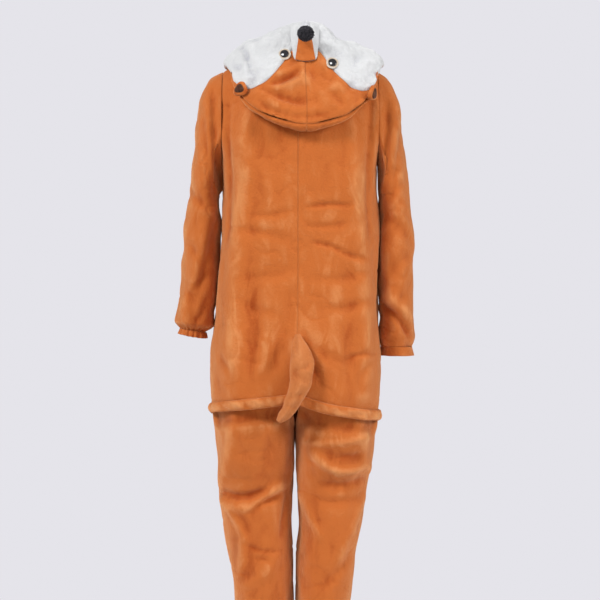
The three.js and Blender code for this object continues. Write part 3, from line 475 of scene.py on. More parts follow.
# A point on the body or a leg. angle: 0 centre front, half pi the side seam, pi centre back. The torso is
# a superellipse about the centre seam; on a leg it blends into a ring of its own, so that both ends meet
# at the inseam. whole: hangs clear of the cleft between the legs.
def bodyPoint(side, angle, z, whole=False):
    s = {name: columnAt(body, "z", name, z) for name in body if name != "z"}
    split = 0 if whole else s["split"]
    depth = np.where(angle < pi / 2, s["front"], s["back"])
    reach = s["left"] - s["seamX"] if side > 0 else s["right"] + s["seamX"]
    sine, cosine = np.sin(angle), np.cos(angle)
    r = superellipse(sine, cosine, reach, depth, bodyShape["exponent"])
    turn = 2 * angle - pi
    half = (reach - s["gap"] / 2) / 2
    q = superellipse(np.cos(turn), np.sin(turn), half, depth, bodyShape["legExponent"])
    across = mix(r * sine, s["gap"] / 2 + half + q * np.cos(turn), split)
    along = mix(-r * cosine, q * np.sin(turn), split)
    return point(s["seamX"] + side * across, along, z)


# The angle of a panel's point, at a share of the way from the centre to the side seam.
def panelAngle(face, s):
    return pi * (1 - s / 2) if face == "back" else pi * s / 2


# The top edge of a panel: a quarter of the oval neckline, and then the shoulder seam falling away.
def topEdge(side, face, s):
    armholeX = yoke["left"] if side > 0 else yoke["right"]
    back = face == "back"
    a = np.clip(s / yoke["neckShare"], 0, 1) * pi / 2
    f = np.clip((s - yoke["neckShare"]) / (1 - yoke["neckShare"]), 0, 1)
    cosine = np.maximum(np.cos(a), 0)
    dip = neck["backDip"] * cosine if back else neck["frontDip"] * cosine ** neck["dipPower"]
    x = np.where(f > 0, mix(neck["halfWidth"], armholeX, f), neck["halfWidth"] * np.sin(a))
    y = (neck["back"] if back else neck["front"]) * cosine + cloth["seam"] / 2
    z = np.where(f > 0, -yoke["shoulderDrop"] * f**1.3, -dip)
    return x, np.where(f > 0, cloth["seam"] / 2, y), z


# A point above the underarm: s from the centre (0) to the armhole (1), v from the underarm (0) to the
# top edge (1). Depth falls off as a cosine and height rises as a sine.
def yokePoint(side, face, s, v):
    armholeX = yoke["left"] if side > 0 else yoke["right"]
    sign = 1 if face == "back" else -1
    level = np.full(np.shape(s), float(yoke["underarmZ"]))
    ring = bodyPoint(side, panelAngle(face, s), level)
    centreAngle = pi if face == "back" else 0.0
    centre = np.abs(bodyPoint(side, np.full((1,), centreAngle), level.flat[:1])[0, 1])
    spread = np.sin(s * pi / 2)
    opened = smooth(v / 0.28)
    x = mix(np.abs(ring[..., 0]), armholeX * spread, opened)
    y = mix(np.abs(ring[..., 1]), mix(centre, yoke["halfDepth"], spread**2.6), opened)
    topX, topY, topZ = topEdge(side, face, s)
    t = np.clip(v, 0, 1) * pi / 2
    deep = np.clip(np.cos(t), 0, 1) ** 0.7
    high = np.clip(np.sin(t), 0, 1) ** 0.9
    across = side * mix(x, topX, smooth(v))
    return point(across, sign * mix(topY, y, deep), mix(yoke["underarmZ"], topZ, high))


flap = {
    "centreZ": -784, "leftDrop": 30, "rightDrop": 44, "tuck": 34, "bandAbove": 16, "bandBelow": 8,
    "bandDepth": 8, "tuckDepth": 12, "tuckEnd": 48, "tuckShort": 44, "tuckBlend": 22,
}


# How low the seat flap's edge hangs, at a share of the width from the centre to the side: evenly lower
# on the left, and on the right mostly beside the tail.
def flapZ(side, s):
    return flap["centreZ"] - (flap["leftDrop"] * s if side > 0 else flap["rightDrop"] * (1 - (1 - s) ** 2))


# A panel's surface: v from the top (0) to the underarm (yokeEnd) and on down to bottom(s) (1).
def panelSurface(side, face, yokeEnd, bottom):
    def surface(s, v):
        above = yokePoint(side, face, s, 1 - np.clip(v / yokeEnd, 0, 1))
        z = mix(yoke["underarmZ"], bottom(s), np.clip((v - yokeEnd) / (1 - yokeEnd), 0, 1))
        below = bodyPoint(side, panelAngle(face, s), z, whole=face == "back")
        return np.where((v < yokeEnd)[..., None], above, below)
    return surface


# The folds of the body, as foldHeight takes them.
backFolds = [
    (112, -70, 133, -420, 5, 20, 7), (133, -420, 146, -770, -3, 22, 9), (-118, -90, -140, -430, -5, 20, 6),
    (-140, -430, -150, -770, 3, 20, 6.5), (160, -120, 156, -420, 2, 9, -5),
    (-164, -110, -160, -420, -2, 9, -5), (98, -480, 108, -760, 5, 16, -5),
    (-108, -500, -116, -740, -5, 15, -3.5), (78, -990, 164, -996, 9, 9, -8),
    (84, -1022, 166, -1020, 9, 12, 6), (44, -1003, 104, -1036, -4, 8, -7), (30, -978, 84, -1014, -4, 10, 5),
    (122, -1095, 170, -1015, -4, 7, 5), (122, -1092, 132, -1178, 3, 9, 5),
    (40, -1127, 116, -1113, 5, 5, -2.6), (60, -1152, 100, -1142, -3, 5, -2),
    (24, -960, 36, -1090, 5, 9, -5), (-177, -851, -97, -878, 6, 9, 4.5), (-97, -878, -18, -876, 4, 9, 4.5),
    (-147, -936, -85, -943, 4, 10, 8), (-85, -943, -36, -902, 5, 10, 8), (-150, -966, -60, -974, 8, 12, -6),
    (-150, -906, -74, -908, 4, 11, -4.5), (-50, -1092, -9, -1000, 4, 9, 4.5),
    (-154, -1000, -120, -1081, -3, 8, 5), (-120, -1081, -97, -1140, -3, 9, 4),
    (-140, -1004, -54, -1014, 7, 13, -3.4), (60, -1150, 120, -1210, 7, 13, 4),
    (-120, -1130, -60, -1200, 6, 12, -4), (-24, -354, -112, -350, 3, 6, -4),
    (18, -362, 96, -372, 5, 8, -2.4), (-26, -396, -104, -392, -3, 8, -3), (30, -425, 140, -408, -7, 12, -3),
    (-36, -434, -88, -448, 3, 6, -4.2), (-88, -448, -150, -470, -3, 7, -3.6),
    (10, -492, 120, -510, 6, 15, -3), (-30, -512, -150, -500, -8, 13, -3), (60, -590, 130, -560, 7, 12, -3),
    (-60, -580, -165, -560, -7, 12, -3.4), (14, -560, 50, -700, 6, 18, -6),
    (-30, -660, -120, -700, -8, 13, -3.4), (40, -640, 90, -760, 8, 16, -4.5),
    (-120, -690, -170, -682, 3, 6, -4), (168, -690, 150, -745, 6, 9, -4),
    (-160, -700, -140, -760, -6, 9, -3.4), (-14, -640, -44, -740, -4, 13, -6),
    (150, -830, 172, -980, 5, 14, 5), (-140, -830, -164, -960, -5, 13, 4.5),
    (60, -840, 80, -950, 6, 18, -3), (90, -210, 30, -300, 6, 20, -2.2), (-60, -180, -20, -320, -6, 22, 2.2),
    (60, -300, 80, -420, 4, 16, 2.4),
]
frontFolds = [
    (110, -250, 128, -720, 5, 28, 5), (-112, -240, -126, -720, -5, 28, 5),
    (40, -1010, 150, -1030, 8, 14, -6), (-30, -1015, -130, -1000, -7, 14, -6),
    (30, -420, 140, -400, 6, 15, -2.8), (-30, -430, -150, -410, -6, 15, -2.8),
    (24, -560, 150, -590, 8, 17, -3), (-24, -570, -140, -540, -8, 16, -3),
    (30, -800, 170, -760, 9, 15, -4.5), (-20, -810, -160, -770, -9, 15, -4.5),
    (60, -1060, 140, -1020, -6, 15, 5), (-50, -1070, -120, -1030, 6, 15, 5),
    (70, -1080, 110, -1130, 5, 12, -4), (-60, -1090, -100, -1140, -5, 12, -4),
    (120, -130, 156, -290, 5, 15, -3), (-128, -130, -162, -290, -5, 15, -3),
]


foldScale = {"back": 1.35, "front": 1.2, "sleeve": 1.25, "hood": 1.3}


# The body's relief: its folds, fading out at the side seams, with a slow roll and faint broken creases.
def bodyRelief(p, face):
    x, y, z = p[..., 0], p[..., 1], p[..., 2]
    fade = smooth(np.abs(y) / 45)
    armholeX = np.where(x > 0, yoke["left"], yoke["right"])
    edge = np.where(z > yoke["underarmZ"], smooth((armholeX - np.abs(x)) / 20), 1)
    folds = foldScale[face] * foldHeight(backFolds if face == "back" else frontFolds, x, z)
    calm = smooth((-z - 20) / 120)
    slow = 1.5 * softWave(p, 150, 11) + 0.8 * softWave(p, 62, 12, (1, 1, 1.6))
    lines = -1.5 * creaseLines(p, 90, 21, stretch=(1.3, 1.3, 0.8))
    combed = 0.35 * softWave(p, 24, 14, (1, 1, 3.0))
    return fade * edge * folds + calm * (slow + lines) + combed


panel = {
    "columns": 64, "frontYoke": 0.3, "backYoke": 0.4, "backRows": 236, "frontRows": 230, "legRows": 170,
    # The legs are painted darker and redder all over, as painted shade.
    "legPaintedShade": -0.05,
}


def makeBodyPanels(name, side):
    us = np.linspace(yoke["centreGap"], 1 - yoke["centreGap"], panel["columns"])
    surface = panelSurface(side, "front", panel["frontYoke"], lambda s: bodyShape["legEnd"])
    grid = gridOf(surface, us, np.linspace(0, 1, panel["frontRows"]))
    clothPiece(f"front_panel_{name}", grid, bodyRelief(grid, "front"), looks["orangePlush"],
               -side, sewn=("first", "last", "top", "bottom"))

    surface = panelSurface(side, "back", panel["backYoke"], lambda s: flapZ(side, s))
    grid = gridOf(surface, us, np.linspace(0, 1, panel["backRows"]))
    clothPiece(f"back_panel_{name}", grid, bodyRelief(grid, "back"), looks["orangePlush"],
               side, sewn=("first", "last", "top"))

    def seatTop(s):
        return flapZ(side, s) + flap["tuck"]

    def legSurface(s, v):
        return bodyPoint(side, panelAngle("back", s), mix(seatTop(s), bodyShape["legEnd"], v))

    grid = gridOf(legSurface, us, np.linspace(0, 1, panel["legRows"]))
    # The seat is drawn in under the flap, ending sooner beside the side seam.
    reach = flap["tuckEnd"] - flap["tuckShort"] * smooth((us - 0.8) / 0.2)[None, :]
    under = smooth((grid[..., 2] - flapZ(side, us)[None, :] + reach) / flap["tuckBlend"])
    height = bodyRelief(grid, "back") - flap["tuckDepth"] * under
    clothPiece(f"seat_and_leg_{name}", grid, height, looks["orangePlush"],
               side, sewn=("first", "last", "bottom"), toneAndShade=panel["legPaintedShade"])


hem = {
    "columns": 84, "rows": 15, "clear": 1.2, "edge": 1.6, "fullness": 1.1, "pinchAt": 0.82,
    "pinchWidth": 0.05, "pinchDepth": 0.5, "endFrom": 0.86, "endDepth": {"left": 0.85, "right": 0.25},
}


# The flap's hem: a soft roll lying on the flap, half an ellipse across, with one pinch near its side end,
# past which it thins out.
def makeFlapHem(name, side):
    us = np.linspace(yoke["centreGap"], 1 - yoke["centreGap"], hem["columns"])
    across = np.linspace(0, 1, hem["rows"])

    def surface(s, v):
        z = flapZ(side, s) + mix(flap["bandAbove"], -flap["bandBelow"], v)
        return bodyPoint(side, panelAngle("back", s), z, whole=True)

    grid = gridOf(surface, us, across)
    puckers = 0.78 + 0.16 * softWave(grid, 44, 31) + 0.09 * softWave(grid, 17, 32)
    end = us[None, :]
    pinch = 1 - hem["pinchDepth"] * np.exp(-(((end - hem["pinchAt"]) / hem["pinchWidth"]) ** 2))
    thinning = 1 - hem["endDepth"][name] * smooth((end - hem["endFrom"]) / (1 - hem["endFrom"]))
    bulge = np.sqrt(np.clip(1 - (2 * across[:, None] - 1) ** 2, 0, 1))
    swell = hem["edge"] + flap["bandDepth"] * hem["fullness"] * bulge * puckers * pinch * thinning
    lying = bodyRelief(grid, "back")
    normals = gridNormals(grid, False) * side
    top = grid + normals * (lying + hem["clear"] + swell)[..., None]
    foot = grid + normals * (lying + hem["clear"])[..., None]
    ring = np.concatenate([top, foot[::-1]], axis=0)
    # Painted highlight and shade: the roll is painted paler where it bulges out, and its foot darker.
    shade = np.concatenate([0.3 + 0.6 * bulge * puckers, np.full(foot.shape[:2], 0.2)], axis=0)
    loop = ring.transpose(1, 0, 2)
    mesh = gridMesh(f"flap_hem_{name}", loop, shade.T, closed=True, flip=side > 0, poles=True)
    piece = addPiece(f"flapHem{name.capitalize()}Roll", f"flap_hem_{name}",
                     looks["orangePlush"], mesh)


# Sleeves and cuffs.

sleeve = {
    "left": {
        "row": list(range(14)),
        "innerX": [172.8, 174.5, 176, 177, 178, 178, 177.5, 177, 179.5, 185, 190, 194, 212, 212],
        "innerZ": [-308, -315, -320, -325, -330, -337, -350, -410, -470, -530, -583, -618, -636, -650],
        "outerX": [172.8, 203, 219, 231, 239, 247, 255, 261, 266, 271, 277, 285, 273, 276],
        "outerZ": [-38, -54, -88, -147, -215, -285, -342, -406, -469, -530, -580, -609, -626, -639],
        "halfDepth": [92, 91, 88, 84, 80, 77, 75, 73, 72, 70, 68, 65, 46, 49],
        "centreY": [0, -1, -3, -5, -8, -10, -12, -14, -17, -20, -22, -24, -24, -24],
    },
    "right": {
        "row": list(range(14)),
        "innerX": [182.8, 184, 184.5, 185, 184.5, 184, 183.5, 183.5, 184, 184.5, 185, 186, 190, 191],
        "innerZ": [-308, -315, -320, -325, -330, -338, -352, -410, -470, -530, -590, -640, -668, -689],
        "outerX": [182.8, 209, 225, 235, 245, 253, 260, 265, 267, 267, 266, 267, 265, 268],
        "outerZ": [-38, -57, -92, -147, -212, -282, -346, -408, -470, -530, -590, -640, -668, -689],
        "halfDepth": [92, 91, 88, 84, 80, 77, 75, 73, 72, 71, 70, 68, 60, 61],
        "centreY": [0, -1, -3, -5, -8, -10, -12, -14, -17, -20, -22, -24, -25, -25],
    },
}
sleeveShape = {"elasticRow": 12, "cuffRow": 13, "around": 128, "rows": 168, "cuffRows": 12, "gap": 0.02}
# Folds of the sleeves, in x from the middle of the garment and z, on the back of the sleeve.
sleeveFolds = {
    "left": [
        (190, -90, 184, -330, 4, 11, -7), (215, -110, 196, -300, 4, 12, 5),
        (212, -130, 190, -318, -3, 9, -5), (238, -160, 214, -340, 6, 14, 3),
        (252, -300, 206, -352, -5, 11, -4.5), (200, -352, 262, -590, 6, 15, 5),
        (188, -380, 232, -560, 5, 13, -4.5), (262, -420, 226, -470, 4, 10, -3.5),
        (196, -500, 250, -560, -5, 11, -3.6), (268, -520, 236, -600, 5, 11, -4),
        (206, -560, 234, -618, 3, 9, -4.5),
    ],
    "right": [
        (200, -120, 196, -300, -4, 12, -6), (226, -96, 206, -250, -5, 12, 4.5),
        (238, -150, 212, -320, -5, 10, -5), (194, -575, 262, -650, -6, 10, -9),
        (204, -555, 266, -618, -5, 13, 5), (250, -290, 200, -345, 5, 12, -4),
        (192, -370, 258, -430, -6, 13, -4), (262, -450, 200, -520, 6, 14, -3.6),
        (196, -440, 216, -560, 4, 12, 4), (258, -510, 226, -580, -5, 12, -3.4),
    ],
}


# A point on a sleeve. turn: 0 at the inner side, round by the back, pi at the outer side, round by the
# front. The first rows follow the armhole and become ovals.
def sleevePoint(name, side, turn, place):
    s = {key: columnAt(sleeve[name], "row", key, place) for key in sleeve[name] if key != "row"}
    back = turn <= pi
    v = np.clip(np.where(back, turn / pi, 2 - turn / pi), 0, 1)
    ones = np.ones(np.shape(v))
    armhole = np.where(back[..., None], yokePoint(side, "back", ones, v), yokePoint(side, "front", ones, v))
    become = smooth(place / 3)
    armholeShare = (armhole[..., 2] - yoke["underarmZ"]) / (-yoke["underarmZ"] - yoke["shoulderDrop"])
    share = mix(armholeShare, (1 - np.cos(turn)) / 2, become)
    sine = np.sin(turn)
    rounded = np.sign(sine) * np.abs(sine) ** 0.85
    depthThere = armhole[..., 1] * s["halfDepth"] / yoke["halfDepth"]
    y = mix(depthThere, s["centreY"] + s["halfDepth"] * rounded, become)
    x = side * mix(s["innerX"], s["outerX"], share)
    return point(x, y, mix(s["innerZ"], s["outerZ"], share))


# Gathers: uneven waves round the sleeve that grow towards the elastic and flare at the rim.
def gathers(name, turn, place):
    if name == "right":
        return 0.5 * np.sin(7 * turn + 1.2) * smooth((place - 11) / 2)
    waves = np.sin(17 * turn + 0.7 * np.sin(3 * turn)) + 0.5 * np.sin(29 * turn + 1.9)
    return waves * (1.3 * smooth((place - 10.9) / 1.1) + 0.6 * smooth((place - 12.1) / 0.9))


def sleeveRelief(name, p, turn, place):
    behind = smooth(p[..., 1] / 40)
    x = np.abs(p[..., 0])
    folds = foldScale["sleeve"] * behind * foldHeight(sleeveFolds[name], x, p[..., 2])
    front = (1 - behind) * foldHeight(sleeveFolds[name], x + 6, p[..., 2] + 26)
    start = smooth(place / 1.2)
    slow = 1.3 * softWave(p, 90, 41 + len(name)) + 0.6 * softWave(p, 40, 42)
    lines = -1.7 * creaseLines(p, 66, 51 + len(name), stretch=(1, 1, 0.9))
    return start * (folds + 0.8 * front + slow + lines) + gathers(name, turn, place)


def makeSleeve(name, side):
    elastic, end = sleeveShape["elasticRow"], sleeveShape["cuffRow"]
    us = np.linspace(0, 2 * pi, sleeveShape["around"], endpoint=False)
    turn, place = np.meshgrid(us, np.linspace(0, elastic, sleeveShape["rows"]))
    grid = sleevePoint(name, side, turn, place)
    clothPiece(f"sleeve_{name}", grid, sleeveRelief(name, grid, turn, place), looks["orangePlush"],
               side, sewn=("top", "bottom"), closed=True)
    turn, place = np.meshgrid(us, np.linspace(elastic + sleeveShape["gap"], end, sleeveShape["cuffRows"]))
    grid = sleevePoint(name, side, turn, place)
    height = gathers(name, turn, place) + 0.5 * softWave(grid, 30, 43)
    clothPiece(f"cuff_{name}", grid, height, looks["orangePlush"], side,
               sewn=("top",), closed=True)


# The leg's ankle band, gathered by its elastic.
def makeLegCuff(name, side):
    us = np.linspace(0, 1, 120, endpoint=False)
    vs = np.linspace(0, 1, 12)
    u, v = np.meshgrid(us, vs)
    grid = bodyPoint(side, u * pi, mix(bodyShape["legEnd"] - 0.6, bodyShape["hem"], v))
    turn = u * 2 * pi
    height = 1.2 * (np.sin(15 * turn + 0.8 * np.sin(4 * turn)) + 0.5 * np.sin(26 * turn + 1))
    clothPiece(f"leg_cuff_{name}", grid, height * (0.6 + 0.6 * v), looks["orangePlush"],
               -side, sewn=("top",), closed=True)


for sideName, sideSign in sides.items():
    makeBodyPanels(sideName, sideSign)
    makeFlapHem(sideName, sideSign)
    makeSleeve(sideName, sideSign)
    makeLegCuff(sideName, sideSign)
print("body, sleeves and legs made")


# Hood.

hood = {
    "at": [-30, 0, 30, 58, 80, 100, 125, 150, 178],
    "foldX": [-72, 0, 72, 132, 166, 174, 148, 86, 17],
    "foldY": [137, 140, 137, 118, 58, -5, -86, -126, -116],
    "foldZ": [-170, -188, -170, -122, -42, -28, -52, -96, -96],
    "underS": [0.75, 0.75, 0.75, 0.72, 0.62, 0.54, 0.46, 0.6, 0.7],
    "underZ": [2, -5, 2, 8, 12, 27, 33, -6, -46],
    "outer1S": [1.45, 1.5, 1.45, 1.33, 1.15, 1.1, 1.12, 1.15, 1.3],
    "outer1Z": [-150, -170, -150, -98, -22, -2, -34, -72, -84],
    "outer2S": [1.0, 1.02, 1.0, 0.92, 0.62, 0.52, 0.6, 0.72, 0.95],
    "outer2Z": [-14, -30, -14, 14, 48, 50, 26, -8, -50],
    "rimX": [-46, 0, 46, 78, 90, 90, 76, 48, 16],
    "rimY": [98, 104, 98, 66, 28, -12, -58, -90, -98],
    "rimZ": [58, 64, 58, 54, 46, 38, 16, -10, -34],
    "turn": [13, 14, 13, 11, 9, 8, 8, 7, 5],
}
# How far the rim and the outside below it sag on each side, between two angles. outer1 is the share of
# that taken by the outside's lower control point.
hoodSag = {"left": 6, "right": 22, "from": 15, "to": 112, "blend": 45, "outer1": 0.3}
hoodPlace = {"above": 1.5, "middleX": -15, "centre": 0.04, "end": 178, "crownEnd": 71, "gap": 0.001}
cheekSeam = {
    "at": [0, 15, 30, 45, 60, 72, 90, 180],
    "share": [0.89, 0.76, 0.55, 0.38, 0.2, 0.04, 0.0, 0.0],
}


# A point on a Bezier curve with any number of control points, by blending neighbours until one is left.
def bezier(points, t):
    while len(points) > 1:
        points = [mix(a, b, t) for a, b in zip(points[:-1], points[1:])]
    return points[0]


def unit(vector):
    return vector / np.maximum(np.linalg.norm(vector, axis=-1, keepdims=True), 1e-9)


# A point on the hood. angle: signed degrees round the neck from the centre back. place: along a curve
# from the neckline (0) to the rolled fold (1), round half a circle (2), and up the outside to the rim (3).
def hoodPoint(angle, place):
    side = np.where(angle < 0, -1, 1)
    size = np.abs(angle)
    s = {key: columnAt(hood, "at", key, size) for key in hood if key != "at"}
    sine, cosine = np.sin(np.radians(size)), np.cos(np.radians(size))
    middle = hoodPlace["middleX"] * smooth((160 - size) / 80)
    frontDip = neck["frontDip"] * np.abs(cosine) ** neck["dipPower"]
    dip = np.where(cosine > 0, neck["backDip"] * cosine, frontDip)
    deep = np.where(cosine > 0, neck["back"], neck["front"]) * cosine
    start = point(side * neck["halfWidth"] * sine, deep, hoodPlace["above"] - dip)
    fold = point(middle + side * s["foldX"], s["foldY"], s["foldZ"])
    begun = smooth((size - hoodSag["from"]) / hoodSag["blend"])
    unfinished = smooth((hoodSag["to"] - size) / hoodSag["blend"])
    sag = begun * unfinished * np.where(side < 0, hoodSag["right"], hoodSag["left"])
    rim = point(middle + side * s["rimX"], s["rimY"], s["rimZ"] - sag)

    def control(share, z):
        held = mix(start, fold, share[..., None])
        held[..., 2] = z
        return held

    under = control(s["underS"], s["underZ"])
    away = unit(fold - under)
    plan = fold - start
    plan[..., 2] = 0
    up = unit(plan) * -away[..., 2:]
    up[..., 2] = np.hypot(away[..., 0], away[..., 1])
    radius = s["turn"][..., None]
    end = fold - away * radius
    centre = end + up * radius
    t = place[..., None]
    lower = bezier([start, under, end], np.clip(t, 0, 1))
    bend = np.clip(t - 1, 0, 1) * pi
    roll = centre - up * radius * np.cos(bend) + away * radius * np.sin(bend)
    outer1 = control(s["outer1S"], s["outer1Z"] - hoodSag["outer1"] * sag)
    outer2 = control(s["outer2S"], s["outer2Z"] - sag)
    outside = [centre + up * radius, outer1, outer2, rim]
    upper = bezier(outside, np.clip(t - 2, 0, 1))
    return np.where(t <= 1, lower, np.where(t <= 2, roll, upper))


# Folds of the hood's outside, seen from behind in x and z.
hoodFolds = [
    (130, 18, 108, -50, 4, 6, -6), (118, 26, 96, -30, 4, 11, 4), (128, -50, 150, -30, -4, 10, -4),
    (-150, -60, -168, -96, 5, 8, -5), (-128, -30, -150, -6, 4, 10, -4), (-112, -92, -130, -60, -4, 9, -4),
    (-2, -52, 62, -86, 4, 8, -6), (-6, -74, 64, -92, 5, 9, 4.5), (-8, -124, 76, -94, 5, 9, -5),
    (12, -46, 50, -62, 3, 8, 4), (-67, -57, -56, -22, 3, 9, 4.5), (-40, -74, -30, -36, 3, 9, -4),
    (-14, -70, -8, -34, 2, 8, 4), (-100, 10, -84, 44, 4, 10, -3), (-60, -150, 10, -156, 4, 9, -4),
    (30, -150, 84, -122, 5, 9, -4.5), (-96, -124, -60, -100, -5, 10, -4.5),
    (-86, -88, -30, -104, 5, 12, 3.0),
]


# The hood's relief: soft folds on the outside, lumps of stuffing-soft pile, and nothing at the neckline.
def hoodRelief(p, place, lumpy):
    outside = smooth((place - 1.2) / 0.8) * smooth(p[..., 1] / 40)
    folds = foldScale["hood"] * outside * foldHeight(hoodFolds, p[..., 0], p[..., 2])
    loose = smooth((place - 0.55) / 0.6)
    slow = 1.6 * softWave(p, 82, 61) + lumpy * (0.6 * softWave(p, 34, 62) + 0.4 * softWave(p, 17, 63))
    lines = -1.2 * creaseLines(p, 58, 64)
    return folds + loose * (slow + lines)


def makeHoodHalf(name, side):
    def piece(node, angles, placeAt, rows, material, slotName, sewn, lumpy):
        angle, v = np.meshgrid(angles, np.linspace(0, 1, rows))
        place = placeAt(angle, v)
        grid = hoodPoint(side * angle, place)
        clothPiece(f"{node}_{name}", grid, hoodRelief(grid, place, lumpy), looks[material],
                   -side, sewn=sewn, dip=2.2, dipWidth=5)

    gap = hoodPlace["gap"]
    allRound = np.linspace(hoodPlace["centre"], hoodPlace["end"], 150)
    crown = np.linspace(hoodPlace["centre"], hoodPlace["crownEnd"], 76)

    # From 70 degrees, where the crown ends, the seam moves back round the fold: the cheek wraps it, and
    # the hood's back stops where the cheek starts.
    def seamAt(angle):
        return columnAt(cheekSeam, "at", "share", angle) - 0.9 * smooth((angle - 70) / 12)

    def lip(angle):
        return np.minimum(2, 2 + seamAt(angle))

    piece("hood_back", allRound, lambda a, v: lip(a) * v, 92, "orangePlush", "plush_orange",
          ("first", "top", "bottom"), 0.5)
    piece("hood_crown", crown, lambda a, v: 2 + mix(gap, seamAt(a) - gap, v), 60, "orangePlush",
          "plush_orange", ("first", "bottom"), 0.8)
    piece("hood_cheek", allRound, lambda a, v: 2 + mix(seamAt(a) + gap, 1, v), 60, "whitePlush",
          "plush_white", ("first", "top"), 1.3)


for sideName, sideSign in sides.items():
    makeHoodHalf(sideName, sideSign)
print("hood made")


# Face: snout, stripe, nose, eyes and ears.

snout = {
    "bottomAngle": 12, "topAngle": 20, "bottomShare": 0.72, "topShare": 0.985, "sag": 0.03, "height": 30,
    "arch": 1.2, "crest": 0.72, "edge": 0.6, "clear": 1.0,
}
stripe = {"bottomAngle": 10, "topAngle": 5, "lastV": 0.6, "thickness": 1.5, "clear": 0.9}


# How far the padding stands up: an arch across, rising to the crest and rounding over at the top.
def snoutHeight(u, v):
    across = np.clip(1 - (2 * u - 1) ** 2, 0, 1) ** snout["arch"]
    top = np.clip(v - snout["crest"], 0, 1) / (1 - snout["crest"])
    return snout["edge"] + snout["height"] * across * smooth(v / 0.8) * np.sqrt(np.clip(1 - top**2, 0, 1))


# A point under the snout. The middle half of its width follows the stripe, which narrows upwards, and its
# bottom edge sags at the centre.
def snoutBase(u, v):
    out = np.abs(2 * u - 1)
    edge = mix(snout["bottomAngle"], snout["topAngle"], v)
    middle = mix(stripe["bottomAngle"], stripe["topAngle"], v)
    size = np.where(out < 0.5, 2 * out * middle, mix(middle, edge, 2 * out - 1))
    bottom = snout["bottomShare"] - snout["sag"] * (1 - out**2)
    return hoodPoint(np.where(u < 0.5, -1, 1) * size, 2 + mix(bottom, snout["topShare"], v))


def makeSnout():
    us, vs = np.linspace(0, 1, 61), np.linspace(0, 1, 49)
    u, v = np.meshgrid(us, vs)
    base = snoutBase(u, v)
    normals = -gridNormals(base, False)
    height = snoutHeight(u, v)
    beside = np.maximum(smooth((np.abs(2 * u - 1) - 0.5) / 0.2), smooth((v - 0.62) / 0.12))
    lumps = (1.2 * softWave(base, 30, 71) + 0.6 * softWave(base, 13, 72)) * smooth(height / 12) * beside
    top = base + normals * (height + lumps + snout["clear"])[..., None]
    foot = base + normals * snout["clear"]
    loop = np.concatenate([top, foot[:, ::-1]], axis=1)
    # Painted shade: lumps that stand out are painted paler, hollows darker, and the underside darker still.
    shade = np.concatenate([0.5 + 0.16 * lumps, np.full(height.shape, 0.3)], axis=1)
    mesh = gridMesh("snout", loop, shade, closed=True, flip=True, poles=True)
    piece = addPiece("snoutPad", "snout", looks["whitePlush"], mesh)


def makeStripe():
    us = np.linspace(0.25, 0.75, 34)
    vs = np.linspace(0, stripe["lastV"], 26)
    u, v = np.meshgrid(us, vs)
    base = snoutBase(u, v)
    height = snoutHeight(u, v) + snout["clear"] + stripe["clear"] + stripe["thickness"]
    normals = -gridNormals(base, False)
    grid = base + normals * height[..., None]
    clothPiece("muzzle_stripe", grid, 0.4 * softWave(grid, 16, 73), looks["orangePlush"], -1,
               sewn=("first", "last", "top", "bottom"), thickness=stripe["thickness"],
               dip=0.9, dipWidth=2.5)


nose = {"centre": (-17, 164, 27), "radii": (18, 13, 17), "tuft": 0.075}


# A ball: longitude and latitude on an ellipsoid, with its radius broken up into tufts.
def makeNose():
    around, down = np.meshgrid(np.linspace(0, 2 * pi, 150, endpoint=False), np.linspace(0.03, pi - 0.03, 80))
    ball = point(np.sin(down) * np.cos(around), np.sin(down) * np.sin(around), np.cos(down))
    tufts = softWave(ball * 18, 5.2, 81) + 0.8 * softWave(ball * 18, 2.6, 82)
    ball = ball * (1 + nose["tuft"] * 0.5 * tufts)[..., None]
    grid = ball * np.array(nose["radii"]) + np.array(nose["centre"])
    # Painted shade: tufts that stand out are painted paler, the hollows between them darker.
    mesh = gridMesh("nose", grid, 0.5 + 0.2 * tufts, closed=True, flip=True, poles=True)
    piece = addPiece("noseBall", "nose", looks["blackPlush"], mesh)


# A frame on the hood's outside at a place: the point, its outward normal, and two directions across it.
def hoodFrame(at, share):
    angle = np.array([[at - 4, at + 4], [at - 4, at + 4]], float)
    place = np.array([[share - 0.025] * 2, [share + 0.025] * 2]) + 2
    corners = hoodPoint(angle, place)
    across = unit(corners[0, 1] - corners[0, 0] + corners[1, 1] - corners[1, 0])
    rise = unit(corners[1, 0] - corners[0, 0] + corners[1, 1] - corners[0, 1])
    normal = unit(-np.cross(across, rise))
    centre = hoodPoint(np.array([float(at)]), np.array([2.0 + share]))[0]
    level = unit(np.cross(normal, [0, 0, 1]))
    return centre, normal, level, np.cross(level, normal)


# A round piece on a surface: profile(r, a) gives its height above the surface over a disc of radius 1,
# and it is closed by a flat back. pointed draws the outline out at three corners, the first at tip.
def discPiece(name, node, material, placed, radii, profile, shadeAt, rings=26, around=72,
              pointed=0.0, tip=0.0):
    centre, normal, level, upward = placed
    r = np.linspace(0.02, 1, rings)[:, None]
    a = np.linspace(0, 2 * pi, around, endpoint=False)[None, :]
    height = np.broadcast_to(profile(r, a), (rings, around))
    shade = np.broadcast_to(shadeAt(r, a), (rings, around))
    out = r * (1 + pointed * np.cos(3 * (a - tip)))
    flat = (out * np.cos(a))[..., None] * level * radii[0] + (out * np.sin(a))[..., None] * upward * radii[1]
    face = centre + flat + height[..., None] * normal
    low = centre + flat + profile.base * normal
    grid = np.concatenate([face, low[::-1]], axis=0)
    both = np.concatenate([shade, np.full(shade.shape, 0.4)], axis=0)
    return addPiece(name, node, material, gridMesh(node, grid, both, closed=True, poles=True))


